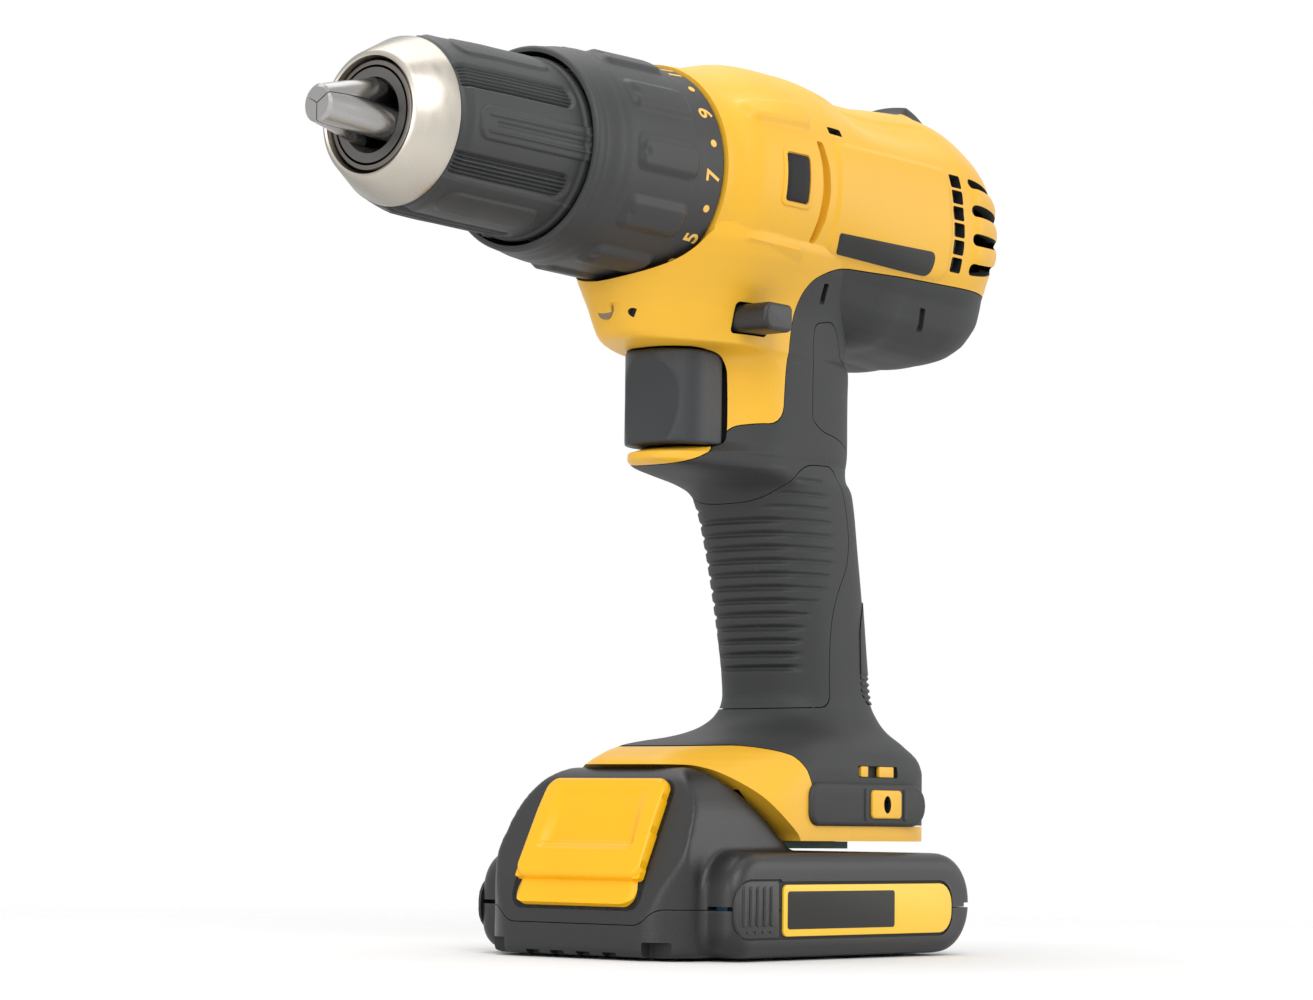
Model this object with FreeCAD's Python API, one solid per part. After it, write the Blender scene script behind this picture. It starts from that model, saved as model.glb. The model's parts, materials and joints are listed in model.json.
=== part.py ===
import FreeCAD, Part
import math
import os

# A cordless combi drill: pistol housing, clutch collar, keyless chuck, planetary gearbox, motor and
# slide-on battery. It stands on its battery, +Z is up, the chuck points along -X, and it is drawn in mm.
# Stations along the barrel are measured from the gear face, where the clutch collar meets the housing.
# Every piece is moved by face_x as it is written, so that the origin lies under the middle of the length.

V = FreeCAD.Vector

# Overall sizes
nose_reach = 101.0          # gear face to the tips of the closed jaws
tail_reach = 118.0          # gear face to the back of the housing
axis_z = 172.0              # spindle axis above the surface that the battery stands on
face_x = (nose_reach - tail_reach) / 2

# Housing
wall = 3.0                  # full wall, hard shell with any soft skin on it
skin = 1.3                  # soft skin laid into the hard shell
barrel_r = 29.0
face_r = 24.6               # housing radius at the gear face
tail_r = 14.0
tail_start = 98.0
belly_z = 136.0
belly_half = 22.0
fit = 0.3                   # gap round a piece that moves
seat = 0.1                  # gap round a piece that is only located
press = 0.05                # gap round a piece that is pressed in
running = 0.08              # play of a shaft in its bearing

# Gearbox: (module, sun teeth, planet teeth, ring teeth)
stage_in = (0.70, 15, 18, 51)
stage_mid = (0.75, 18, 15, 48)
stage_out = (0.90, 15, 12, 39)
backlash = 0.22
case_r = 21.5
case_wall = 1.2
neck_r = 13.0
neck_bore_r = 9.4
ratchet_gap = 0.7
fixed_ratchet_x = (-14.0, -10.6)
planet_pin_r = 1.6
pin_play = 0.06
planets_per_stage = 3

# Stations of the gearbox along the barrel
neck_front = -34.0
case_front = -8.0
case_front_wall = 4.0
out_ring = (-3.75, 9.0)
out_planet = (0.2, 8.6)
out_plate = (-3.3, -0.2)
mid_plate = (9.4, 12.4)
mid_planet = (13.2, 20.4)
shift_ring_x = (13.0, 21.6)
shift_travel = 4.5
in_plate = (21.0, 25.6)
in_ring = (26.8, 33.4)
in_planet = (27.0, 32.6)
case_back = 34.0

# Motor
motor_r = 22.5
motor_wall = 1.6
can_back = 80.0
bell_back = 97.0
core_r = 16.4
magnet_t = 3.6
shaft_r = 2.5
commutator_r = 8.5
commutator_end = 89.3
brush_x = (84.4, 88.0)
fan_x = (99.0, 107.0)
fan_r = 18.5

# Clutch
collar_front = -40.4
collar_flange = (-37.8, -35.4)
collar_base_r = 23.4
collar_band_r = 24.2
collar_lug_r = 24.9
collar_lip_r = 22.3
collar_back = -0.3
collar_lugs = 11
collar_phase = 27.1         # first lug, from the top
nut_x = (-30.0, -25.0)
nut_r = 19.0
washer_x = (-9.8, -8.25)
clutch_wire = 2.0
clutch_coil_r = 16.2
clutch_turns = 5
ball_r = 2.2
ball_ring_r = 17.2
ball_count = 6

# Chuck
spindle_r = 6.0
chuck_face = -85.5
chuck_back = -40.0
chuck_core_r = 14.5
chuck_bore_r = 6.7
nose_front = -86.4
nose_back = -77.3
nose_r = (13.1, 17.7)
sleeve_back = -38.6
sleeve_r = (17.9, 20.6)
jaw_tilt = 14.0
jaw_r = 3.6
jaw_length = 30.0
jaw_gap = 0.12
capacity = 13.0
jaw_travel = capacity / 2 / math.sin(math.radians(jaw_tilt))

# Controls
trigger_half = 10.5
trigger_z = (112.2, 133.6)
trigger_back = 17.0
trigger_stem_z = 123.0
switch_front = 28.5
selector_x = (11.6, 21.6)
selector_z = (137.0, 143.4)
selector_reach = 26.7
selector_back_reach = 18.7
lamp_x = -11.6
lamp_z = 140.6
lamp_r = 2.2
speed_x = (50.0, 58.0)
speed_half = 5.0
well_floor_z = axis_z + 24.4

# Foot and battery
foot_z = 25.0
foot_half = 30.0
foot_back = 77.0
bay_half = 22.0
bay_top = 36.0
pack_half = 37.0
pack_front = -20.0
pack_back = 77.6
pod_front = -10.0
deck_z = 22.4
split_z = 11.0
pack_wall = 2.0
tower_half = 28.5
tower_z = 40.6
cell_r = 8.2
cell_pitch = 16.5
cell_length = 65.0
cell_count = 5
cell_z = 11.1
riser_x = (14.0, 60.0)
riser_half = 21.6
riser_neck = 18.5
lip_half = 19.0
lip_z = 28.0                # top of the foot's lips, which hold the riser's flanges
contact_rows = (-12.0, -4.0, 4.0, 12.0)
pack_screws = ((-11.5, -23.0), (-11.5, 23.0))
button_slope = ((-20.2, 11.6), (-7.5, 37.6))
button_half = 16.8
release_spring_x = (-6.9, 0.9)
release_spring_z = 25.0
hook_hole_r = 2.0
hook_x = 52.0
hook_z = 33.0
label_t = 0.5

screw_places = ((31.0, 140.5), (62.0, 142.5), (101.0, 147.0), (40.5, 104.5), (64.5, 62.0), (72.0, 41.0))
boss_r = 3.4
screw_r = 1.6
screw_head_r = 3.0
screw_head_depth = 5.0


# ---------------------------------------------------------------- outlines
def rounded(points, place):
    """A closed wire through (u, v, radius) corners; place turns (u, v) into a point."""
    count = len(points)
    starts = []
    edges = []
    for i, (u, v, r) in enumerate(points):
        here = V(u, v, 0)
        before = V(points[i - 1][0], points[i - 1][1], 0) - here
        after = V(points[(i + 1) % count][0], points[(i + 1) % count][1], 0) - here
        if r <= 0:
            starts.append((here, here, here))
            continue
        half = before.getAngle(after) / 2
        reach = min(r / math.tan(half), 0.499 * before.Length, 0.499 * after.Length)
        before.normalize()
        after.normalize()
        bisector = before + after
        bisector.normalize()
        radius = reach * math.tan(half)
        middle = here + bisector * (radius / math.sin(half) - radius)
        starts.append((here + before * reach, middle, here + after * reach))
    for i, (_, _, leave) in enumerate(starts):
        a, m, b = starts[(i + 1) % count]
        if (leave - a).Length > 1e-6:
            edges.append(Part.LineSegment(place(leave), place(a)).toShape())
        if (a - b).Length > 1e-6:
            edges.append(Part.Arc(place(a), place(m), place(b)).toShape())
    return Part.Wire(edges)


def prism_y(points, y0, y1):
    """Side outline in X and Z, drawn out from y0 to y1."""
    wire = rounded(points, lambda p: V(p.x, y0, p.y))
    return Part.Face(wire).extrude(V(0, y1 - y0, 0))


def prism_x(points, x0, x1):
    """Cross-section in Y and Z, drawn out from x0 to x1."""
    wire = rounded(points, lambda p: V(x0, p.x, p.y))
    return Part.Face(wire).extrude(V(x1 - x0, 0, 0))


def prism_z(points, z0, z1):
    """Plan outline in X and Y, drawn up from z0 to z1."""
    wire = rounded(points, lambda p: V(p.x, p.y, z0))
    return Part.Face(wire).extrude(V(0, 0, z1 - z0))


def block(x0, x1, y0, y1, z0, z1):
    return Part.makeBox(x1 - x0, y1 - y0, z1 - z0, V(x0, y0, z0))


def rod(x0, x1, r, y=0.0, z=axis_z):
    return Part.makeCylinder(r, x1 - x0, V(x0, y, z), V(1, 0, 0))


def tube(x0, x1, r_out, r_in, y=0.0, z=axis_z):
    return rod(x0, x1, r_out, y, z).cut(rod(x0, x1, r_in, y, z))


def turned(points):
    """A solid of revolution about the spindle axis, from (x, radius) corners."""
    corners = [V(x, 0, axis_z + r) for x, r in points]
    corners.append(corners[0])
    return Part.Face(Part.makePolygon(corners)).revolve(V(0, 0, axis_z), V(1, 0, 0), 360)


def spread(shape, count, phase=0.0):
    """Copies of a shape, evenly round the spindle axis."""
    copies = []
    for i in range(count):
        copy = shape.copy()
        copy.rotate(V(0, 0, axis_z), V(1, 0, 0), phase + 360.0 * i / count)
        copies.append(copy)
    return copies


def fuse(shapes):
    first = shapes[0]
    return first.multiFuse(shapes[1:]).removeSplitter() if len(shapes) > 1 else first


def half_plan(half, r, x0, x1):
    """A rectangle in plan with rounded corners."""
    return [(x0, -half, r), (x1, -half, r), (x1, half, r), (x0, half, r)]


def coil(x0, x1, r, wire, turns):
    """A compression spring along the spindle direction: flat half turns joined by sloping ones."""
    pitch = (x1 - x0 - wire) / turns
    slope = math.degrees(math.atan2(pitch / 2, r))
    halves = []
    for i in range(turns):
        level = V(0, 0, i * pitch)
        middle = V(0, 0, (i + 0.5) * pitch)
        halves.append(Part.makeTorus(r, wire / 2, level, V(0, 0, 1), 0, 360, 180))
        sloping = Part.makeTorus(math.hypot(r, pitch / 2), wire / 2, middle, V(0, 0, 1), 0, 360, 180)
        sloping.rotate(middle, V(0, 0, 1), 180)
        sloping.rotate(middle, V(0, 1, 0), -slope)
        halves.append(sloping)
    spring = halves[0].multiFuse(halves[1:])
    spring.rotate(V(0, 0, 0), V(0, 1, 0), 90)
    spring.translate(V(x0 + wire / 2, 0, 0))
    return spring


# ---------------------------------------------------------------- outer form of the housing
def barrel(t):
    end = tail_reach - t
    shoulder_r = barrel_r - t
    corner = [V(t, 0, axis_z), V(t, 0, axis_z + face_r - t), V(11, 0, axis_z + 27.0 - t),
              V(19, 0, axis_z + shoulder_r), V(tail_start, 0, axis_z + shoulder_r)]
    tail_end = V(end, 0, axis_z + tail_r - t)
    bulge = V(tail_start + 0.76 * (end - tail_start), 0, axis_z + shoulder_r - 0.36 * (barrel_r - tail_r))
    edges = [Part.LineSegment(a, b).toShape() for a, b in zip(corner, corner[1:])]
    edges.append(Part.Arc(corner[-1], bulge, tail_end).toShape())
    edges.append(Part.LineSegment(tail_end, V(end, 0, axis_z)).toShape())
    edges.append(Part.LineSegment(V(end, 0, axis_z), corner[0]).toShape())
    return Part.Face(Part.Wire(edges)).revolve(V(0, 0, axis_z), V(1, 0, 0), 360)


def belly(t):
    """The lower motor housing behind the grip."""
    low = belly_z + t
    side = prism_y([(30, low, 0), (96 - t, low, 12), (111 - t, 150, 9), (115 - t, 168, 0), (30, 168, 0)],
                   -50, 50)
    half = belly_half - t
    across = prism_x([(-half, low, 11), (half, low, 11), (half + 6.0, 164, 0), (-half - 6.0, 164, 0)], 30,
                     116)
    plan = prism_z(half_plan(29.0 - t, 16, 0, 113.5 - t), 130, 170)
    return side.common(across).common(plan)


def grip_section(z, front, back, half, t):
    """A closed smooth section, fuller than an ellipse."""
    power = 2.0 / 2.7
    centre = (front + back) / 2
    deep = (back - front) / 2 - t
    wide = half - t
    points = []
    for i in range(24):
        a = 2 * math.pi * i / 24
        c, s = math.cos(a), math.sin(a)
        points.append(V(centre + deep * math.copysign(abs(c) ** power, c),
                        wide * math.copysign(abs(s) ** power, s), z))
    curve = Part.BSplineCurve()
    curve.interpolate(points, PeriodicFlag=True)
    return Part.Wire([curve.toShape()])


# Grip stations: height, front, back, half width
grip_stations = ((41.0, 31.0, 76.0, 25.0), (46.0, 37.5, 75.5, 19.5), (53.0, 41.5, 74.8, 16.0),
                 (65.0, 40.6, 73.2, 15.0),
                 (80.0, 37.4, 71.2, 15.2), (96.0, 33.6, 68.4, 15.6), (110.0, 28.5, 65.8, 16.2),
                 (124.0, 25.0, 64.5, 17.0), (150.0, 24.0, 64.5, 19.0))


def grip(t):
    return Part.makeLoft([grip_section(z, f, b, h, t) for z, f, b, h in grip_stations], True)


def switch_box(t):
    """The flanks round the trigger, with the lip under it."""
    side = prism_y([(12 + t, 152, 0), (12 + t, 134, 0), (13.4 + t, 129, 3), (13.2 + t, 116, 4),
                    (8.6 + t, 111.9 + t, 2),
                    (3.4 + t, 111.4, 0.8), (3.8 + t, 108.4 + t / 2, 1.2), (14, 106.4 + t, 4),
                    (30, 104.6 + t, 0),
                    (36, 112, 0), (36, 152, 0)], -40, 40)
    low = 15.4 - t
    high = 20.2 - t
    across = prism_x([(-low, 104, 5), (low, 104, 5), (high, 152, 0), (-high, 152, 0)], 0, 40)
    return side.common(across)


def nose(t):
    """The chin under the clutch collar, in front of the grip and above the trigger."""
    side = prism_y([(-14.2 + t, 153, 0), (-14.0 + t, 145.7, 2), (-10.9 + t, 138.3, 4),
                    (-8.6 + t, 134.6 + t, 2),
                    (3, 134.2 + t, 2), (26, 134.2 + t, 0), (26, 153, 0)], -30, 30)
    plan = prism_z([(-15 + t, -12.4 + t, 7), (18, -18.4 + t, 6), (26, -19.0 + t, 0), (26, 19.0 - t, 0),
                    (18, 18.4 - t, 6), (-15 + t, 12.4 - t, 7)], 130, 156)
    return side.common(plan).cut(rod(-30, t, collar_lug_r + 0.5 + t))


def foot(t):
    """The shoe at the bottom of the grip that the battery slides into."""
    side = prism_y([(-4.2 + t, 41.4, 1), (4.0, 45.6 - t, 8), (22, 47.6 - t, 8), (66 - t, 49 - t, 10),
                    (foot_back - t, 43, 7),
                    (foot_back - t, foot_z, 1), (21.8 + t, foot_z, 3), (3.2 + t, 41.2, 1)], -50, 50)
    half = foot_half - t
    across = prism_x([(-half, 20, 0), (-half, 49 - t, 9), (half, 49 - t, 9), (half, 20, 0)], -10, 90)
    plan = prism_z(half_plan(half, 11, -10 + t, foot_back - t), 20, 60)
    return side.common(across).common(plan)


def form(t):
    """The whole outer form, inset by t."""
    return fuse([barrel(t), belly(t), grip(t), switch_box(t), nose(t), foot(t)])


def skin_zone():
    """Where the soft skin lies: belly, grip, top of the foot and a strip up the tail."""
    side = prism_y([(130, 155, 0), (41.5, 155, 5), (35.5, 150, 4), (33.6, 142, 4), (32, 118.6, 5),
                    (26, 117.2, 2),
                    (15, 115.0, 4), (8, 110.6, 4), (1, 107.6, 0), (-12, 100, 0), (-12, 60, 0), (16, 56, 0),
                    (20.4, 46.6, 4), (24.8, 39, 4), (27.2, foot_z + 3.2, 3), (90, foot_z + 3.2, 0),
                    (90, 118, 0), (130, 118, 0)],
                   -60, 60)
    return side.fuse(block(91, 130, -8.5, 8.5, 150, 210))


# ---------------------------------------------------------------- housing pieces
def vents(side):
    """Air slots through one flank at the motor's back end."""
    rows = [axis_z - 11.4 + 5.7 * i for i in range(5)]
    cuts = []
    for z in rows:
        for x0, x1 in ((75.5, 79.5), (83.5, 105.0)):
            y0, y1 = (-40, -12) if side < 0 else (12, 40)
            cuts.append(block(x0, x1, y0, y1, z - 1.7, z + 1.7))
    return cuts


def inner_supports():
    """Ribs that hold the gearbox and motor, drawn inside the cavity."""
    places = ((4.0, case_r), (28.0, case_r), (38.0, motor_r), (72.0, motor_r))
    ribs = [tube(x, x + 2.0, barrel_r - wall + 0.6, r + seat) for x, r in places]
    switch_rib = block(28, 50, -belly_half, belly_half, 107.4, 109.4)
    tray = block(24.5, 60, -belly_half, belly_half, belly_z - 0.1, belly_z + 2.0)
    return ribs + [switch_rib.cut(block(28, 50, -9.4, 9.4, 100, 120)),
                   tray.cut(block(20, 60, -9.4, 9.4, 130, 140))]


def screw_bosses():
    return [Part.makeCylinder(boss_r, 80, V(x, -40, z), V(0, 1, 0)) for x, z in screw_places]


def housing_solids():
    """Both hard halves and both soft skins."""
    outer = form(0)
    under_skin = form(skin)
    cavity = form(wall)
    soft = outer.cut(under_skin).common(skin_zone())
    supports = fuse(inner_supports() + screw_bosses()).common(cavity)
    hard = outer.cut(soft).cut(cavity).fuse(supports)
    openings = [
        rod(-20, wall + 1, case_r + fit),
        prism_y([(-30, trigger_z[0] - fit, 0), (19, trigger_z[0] - fit, 0), (19, trigger_z[1] + fit, 0),
                 (-30, trigger_z[1] + fit, 0)], -trigger_half - fit, trigger_half + fit),
        block(selector_x[0] - fit, selector_x[1] + fit, -40, 40, selector_z[0] - fit, selector_z[1] + fit),
        block(speed_x[0] - 1, speed_x[1] + shift_travel + 1, -speed_half - fit, speed_half + fit, 190, 210),
        block(-10, 61.5, -bay_half, bay_half, lip_z, bay_top),
        block(-10, 61.5, -lip_half, lip_half, 10, bay_top),
        rod(-20, lamp_x + 5, lamp_r + seat, 0, lamp_z),
        Part.makeCylinder(hook_hole_r, 100, V(hook_x, -50, hook_z), V(0, 1, 0)),
    ]
    rooms = [rod(wall, case_back + 2, case_r + seat), rod(case_back, 98, motor_r + seat),
             rod(97, 109, fan_r + 1.0)]
    well = prism_y([(42, 212, 0), (45.5, well_floor_z + 1.5, 2), (63.5, well_floor_z + 1.5, 2),
                    (68, 212, 0)], -12, 12)
    floor = block(41, 68, -14, 14, well_floor_z, well_floor_z + 1.5)
    hard = hard.fuse(floor.common(form(wall - 0.5))).cut(well)
    passage = block(14, 61, -4.6, 4.6, axis_z + case_r, axis_z + 24.5)
    wire_way = block(36, 76, -11, 11, 145.2, axis_z - motor_r + 0.5)
    hard = hard.cut(fuse(openings)).cut(fuse(rooms)).cut(passage).cut(wire_way)
    soft = soft.cut(fuse(openings))
    halves = {}
    for name, side in (("left", -1), ("right", 1)):
        keep = block(-60, 140, -60 if side < 0 else 0, 0 if side < 0 else 60, -10, 220)
        hook_pad = prism_y([(28, 28.2, 3), (66, 28.2, 3), (66, 37, 3), (28, 37, 3)],
                           side * (foot_half - 4), side * (foot_half + 0.9))
        plate = block(hook_x - 6.2, hook_x + 6.2, -60, 60, hook_z - 3.3, hook_z + 3.3)
        hook_core = plate.common(prism_y([(40, 28, 0), (64, 28, 0), (64, 38, 0), (40, 38, 0)],
                                         side * 23.0, side * (foot_half + 0.9)))
        hole = Part.makeCylinder(hook_hole_r, 100, V(hook_x, -50, hook_z), V(0, 1, 0))
        shell = hard.common(keep).cut(hook_pad).fuse(hook_core).cut(hole).cut(fuse(vents(side)))
        cover = soft.common(keep).fuse(hook_pad).cut(shell).cut(hole).cut(plate)
        if side > 0:
            recesses = fuse([Part.makeCylinder(screw_head_r + seat, 80, V(x, screw_head_depth, z), V(0, 1, 0))
                             for x, z in screw_places])
            shell = shell.cut(recesses)
            cover = cover.cut(recesses)
        pilot = fuse([Part.makeCylinder(screw_r, 24, V(x, -10, z), V(0, 1, 0)) for x, z in screw_places])
        halves[name + "_housing"] = shell.cut(pilot)
        halves[name + "_grip"] = cover.cut(pilot)
    return halves


def housing_screws():
    """Self-tapping screws that go in from the right."""
    screws = []
    for x, z in screw_places:
        shank = Part.makeCylinder(screw_r, screw_head_depth + 9.5, V(x, -9.5, z), V(0, 1, 0))
        head = Part.makeCylinder(screw_head_r, 2.4, V(x, screw_head_depth, z), V(0, 1, 0))
        drive = Part.makeCylinder(1.4, 1.4, V(x, screw_head_depth + 1.2, z), V(0, 1, 0))
        screws.append(shank.fuse(head).cut(drive))
    return screws


# ---------------------------------------------------------------- gears
def gear_outline(module, teeth, x, grow, inside):
    """A closed tooth outline; grow widens the tooth on each side, and inside makes a ring gear."""
    pitch_r = module * teeth / 2
    base_r = pitch_r * math.cos(math.radians(20))
    add, ded = (1.05, 0.85) if inside else (0.85, 1.15)
    tip_r = pitch_r + add * module
    root_r = pitch_r - ded * module
    involute_at_pitch = math.tan(math.radians(20)) - math.radians(20)
    half_pitch = math.pi / (2 * teeth) + grow / pitch_r

    def half_angle(r):
        if r <= base_r:
            r = base_r
        a = math.acos(base_r / r)
        return half_pitch + involute_at_pitch - (math.tan(a) - a)

    radii = [root_r, max(root_r + 0.05, min(base_r, pitch_r - 0.1)), pitch_r, (pitch_r + tip_r) / 2, tip_r]
    points = []
    for i in range(teeth):
        middle = 2 * math.pi * i / teeth
        flank = [(r, half_angle(r)) for r in radii]
        for r, a in flank:
            points.append((r, middle - a))
        for r, a in reversed(flank):
            points.append((r, middle + a))
    return [V(x, r * math.sin(a), axis_z + r * math.cos(a)) for r, a in points]


def gear(module, teeth, x0, x1, turn=0.0):
    points = gear_outline(module, teeth, x0, -backlash / 2, False)
    points.append(points[0])
    body = Part.Face(Part.makePolygon(points)).extrude(V(x1 - x0, 0, 0))
    body.rotate(V(0, 0, axis_z), V(1, 0, 0), turn)
    return body


def ring_gear(module, teeth, x0, x1, r_out, turn=0.0):
    points = gear_outline(module, teeth, x0, backlash / 2, True)
    points.append(points[0])
    hollow = Part.Face(Part.makePolygon(points)).extrude(V(x1 - x0, 0, 0))
    hollow.rotate(V(0, 0, axis_z), V(1, 0, 0), turn)
    return rod(x0, x1, r_out).cut(hollow)


def planet_centre_r(stage):
    module, sun, planet, _ = stage
    return module * (sun + planet) / 2


def planet(stage, number, x0, x1):
    """One planet of a stage, turned so that it meshes with a sun that has a tooth at the top."""
    module, sun, teeth, _ = stage
    around = 360.0 * number / planets_per_stage
    wheel = gear(module, teeth, x0, x1).cut(rod(x0 - 1, x1 + 1, planet_pin_r + pin_play))
    wheel.rotate(V(0, 0, axis_z), V(1, 0, 0), around + 180.0 + 180.0 / teeth + around * sun / teeth)
    wheel.translate(FreeCAD.Rotation(V(1, 0, 0), around).multVec(V(0, 0, planet_centre_r(stage))))
    return wheel


def stage_ring(stage, x0, x1, r_out):
    """The ring gear of a stage; with an even planet it is half a tooth round, to mesh."""
    module, _, teeth, ring = stage
    return ring_gear(module, ring, x0, x1, r_out, 180.0 / ring if teeth % 2 == 0 else 0.0)


def carrier(stage, plate, pin_end, plate_r, sun=None, sun_end=0.0):
    """A planet carrier: its plate, its three pins behind it, and the next stage's sun in front of it."""
    body = rod(plate[0], plate[1], plate_r)
    body = body.multiFuse(spread(rod(plate[1] - 0.5, pin_end, planet_pin_r, 0,
                                     axis_z + planet_centre_r(stage)),
                                 planets_per_stage))
    if sun:
        body = body.fuse(gear(sun[0], sun[1], sun_end, plate[0] + 0.5))
    return body


def output_carrier():
    body = carrier(stage_out, out_plate, out_planet[1] + 0.4, 15.6)
    return body.cut(drive_square(out_plate[0] - 1, out_plate[1] + 1, seat))


def drive_square(x0, x1, grow):
    """The squared end of the spindle, or with grow its hole."""
    flat = 4.6 + grow
    return rod(x0, x1, spindle_r + grow).common(block(x0, x1, -flat, flat, axis_z - flat, axis_z + flat))


def gear_case():
    """The gearbox barrel with its threaded neck."""
    inside_r = case_r - case_wall
    outline = turned([(neck_front, neck_bore_r), (neck_front, neck_r), (case_front, neck_r),
                      (case_front, case_r), (case_back, case_r),
                      (case_back, inside_r), (case_front + case_front_wall, inside_r),
                      (case_front + case_front_wall, neck_bore_r)])
    holes = spread(rod(case_front - 1, case_front + case_front_wall + 1, ball_r + seat, 0,
                       axis_z + ball_ring_r), ball_count, 30.0)
    slot = block(shift_ring_x[0] + 2.6, shift_ring_x[1] + shift_travel - 2.0, -4.6, 4.6, axis_z + 15,
                 axis_z + 25)
    return outline.cut(fuse(holes)).cut(slot)


def clutch_thrust_set():
    """The thrust washer and the balls that it presses on the output ring gear."""
    washer = tube(washer_x[0], washer_x[1], nut_r - 0.1, neck_r + fit)
    ball = Part.makeSphere(ball_r, V(case_front + case_front_wall / 2, 0, axis_z + ball_ring_r))
    return [washer] + spread(ball, ball_count, 30.0)


def clutch_spring():
    spring = coil(nut_x[1] + 0.1, washer_x[0] - 0.1, clutch_coil_r, clutch_wire, clutch_turns)
    spring.translate(V(0, 0, axis_z))
    return spring


def clutch_nut():
    ring = tube(nut_x[0], nut_x[1], nut_r, neck_r + 0.15)
    keys = spread(block(nut_x[0], nut_x[1], -2.0, 2.0, axis_z + nut_r - 1, axis_z + nut_r + 1.0), 4)
    return fuse([ring] + keys)


def clutch_collar():
    """The torque collar, with finger lugs outside and keyways for the clutch nut inside."""
    shell = turned([(collar_front, 21.2), (collar_front, collar_lip_r - 0.7),
                    (collar_front + 0.9, collar_lip_r),
                    (-36.4, 22.8), (-31, collar_base_r), (-9, collar_base_r), (-8.2, collar_band_r),
                    (-1.2, collar_band_r),
                    (collar_back, collar_band_r - 0.4), (collar_back, case_r + 0.35),
                    (case_front - 0.5, case_r + 0.35),
                    (case_front - 0.5, nut_r + 0.3), (collar_flange[1], nut_r + 0.3),
                    (collar_flange[1], neck_r + 0.6),
                    (collar_flange[0], neck_r + 0.6), (collar_flange[0], 21.2)])
    keyway = block(collar_flange[1], case_front - 0.5, -2.3, 2.3, axis_z + 17, axis_z + nut_r + 1.4)
    lug = prism_z([(-30, -4.6, 3), (-6, -3.4, 2), (-6, 3.4, 2), (-30, 4.6, 3)], axis_z + 22.6, axis_z + 25.4)
    lug = lug.common(turned([(-31, 22.0), (-31, 23.3), (-28, 24.4), (-24, collar_lug_r),
                             (-9, collar_lug_r), (-4, collar_band_r),
                             (-4, 22.0)]))
    return shell.cut(fuse(spread(keyway, 4))).multiFuse(spread(lug, collar_lugs, collar_phase))


def ratchet(x0, x1, r_out, r_in, toward, teeth=12):
    """A hammer ratchet disc; its face teeth point toward -1 (forward) or +1 (back)."""
    disc = tube(x0, x1, r_out, r_in)
    face = x0 if toward < 0 else x1
    notch = block(face - 0.7, face + 0.7, -0.9, 0.9, axis_z, axis_z + r_out + 2)
    return disc.cut(fuse(spread(notch, teeth)))


# ---------------------------------------------------------------- spindle and chuck


def spindle():
    """The output shaft, squared at the back and tapped at the front, with the moving hammer disc on it."""
    front = -57.0
    moving = ratchet(fixed_ratchet_x[0] - ratchet_gap - 3.0, fixed_ratchet_x[0] - ratchet_gap, 9.0, 5.0, 1)
    body = rod(front, out_plate[0] - 0.3, spindle_r).fuse(drive_square(out_plate[0] - 0.5, out_plate[1], 0))
    return body.fuse(moving).cut(rod(front - 1, front + 14, 2.5))


def fixed_ratchet():
    return ratchet(fixed_ratchet_x[0], fixed_ratchet_x[1], neck_bore_r - press, spindle_r + fit, -1)


def ball_bearing(x0, x1, r_out, r_in, balls=8):
    """Two races with the balls between them."""
    middle = (r_out + r_in) / 2
    r = (r_out - r_in) * 0.28
    ball = Part.makeSphere(r, V((x0 + x1) / 2, 0, axis_z + middle))
    outer = tube(x0, x1, r_out, middle + 0.6 * r)
    inner = tube(x0, x1, middle - 0.6 * r, r_in)
    track = Part.makeTorus(middle, r + 0.08, V((x0 + x1) / 2, 0, axis_z), V(1, 0, 0))
    return [outer.cut(track), inner.cut(track)] + spread(ball, balls)


def spindle_bearings():
    """A ball bearing in the neck and a bushing behind it."""
    front = ball_bearing(neck_front + 0.5, neck_front + 6.5, neck_bore_r - press, spindle_r + running)
    return front + [tube(-8.5, -4.6, neck_bore_r - press, spindle_r + running)]


def motor_bearings():
    """Bushings in the can's front plate and in the end bell."""
    front = tube(case_back + 2.0, case_back + 4.5, 5.0, shaft_r + running)
    return [front, tube(bell_back - 7.0, bell_back - 4.0, 5.0, shaft_r + running)]


def chuck_screw():
    key = prism_x([(-1.6, axis_z - 1.6, 0.4), (1.6, axis_z - 1.6, 0.4), (1.6, axis_z + 1.6, 0.4),
                   (-1.6, axis_z + 1.6, 0.4)], -60, -58.2)
    return rod(-59.6, -57.0, 4.6).fuse(rod(-57.2, -44.0, 2.5)).cut(key)


def jaw_blank(r, start, length):
    """A tilted cylinder on the jaw's line, which crosses the spindle axis at the tips."""
    tilt = math.radians(jaw_tilt)
    direction = V(math.cos(tilt), 0, math.sin(tilt))
    base = V(-nose_reach, 0, axis_z + 0.2) + direction * start
    return Part.makeCylinder(r, length, base, direction)


nut_in = (-75.6, -72.2)


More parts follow.
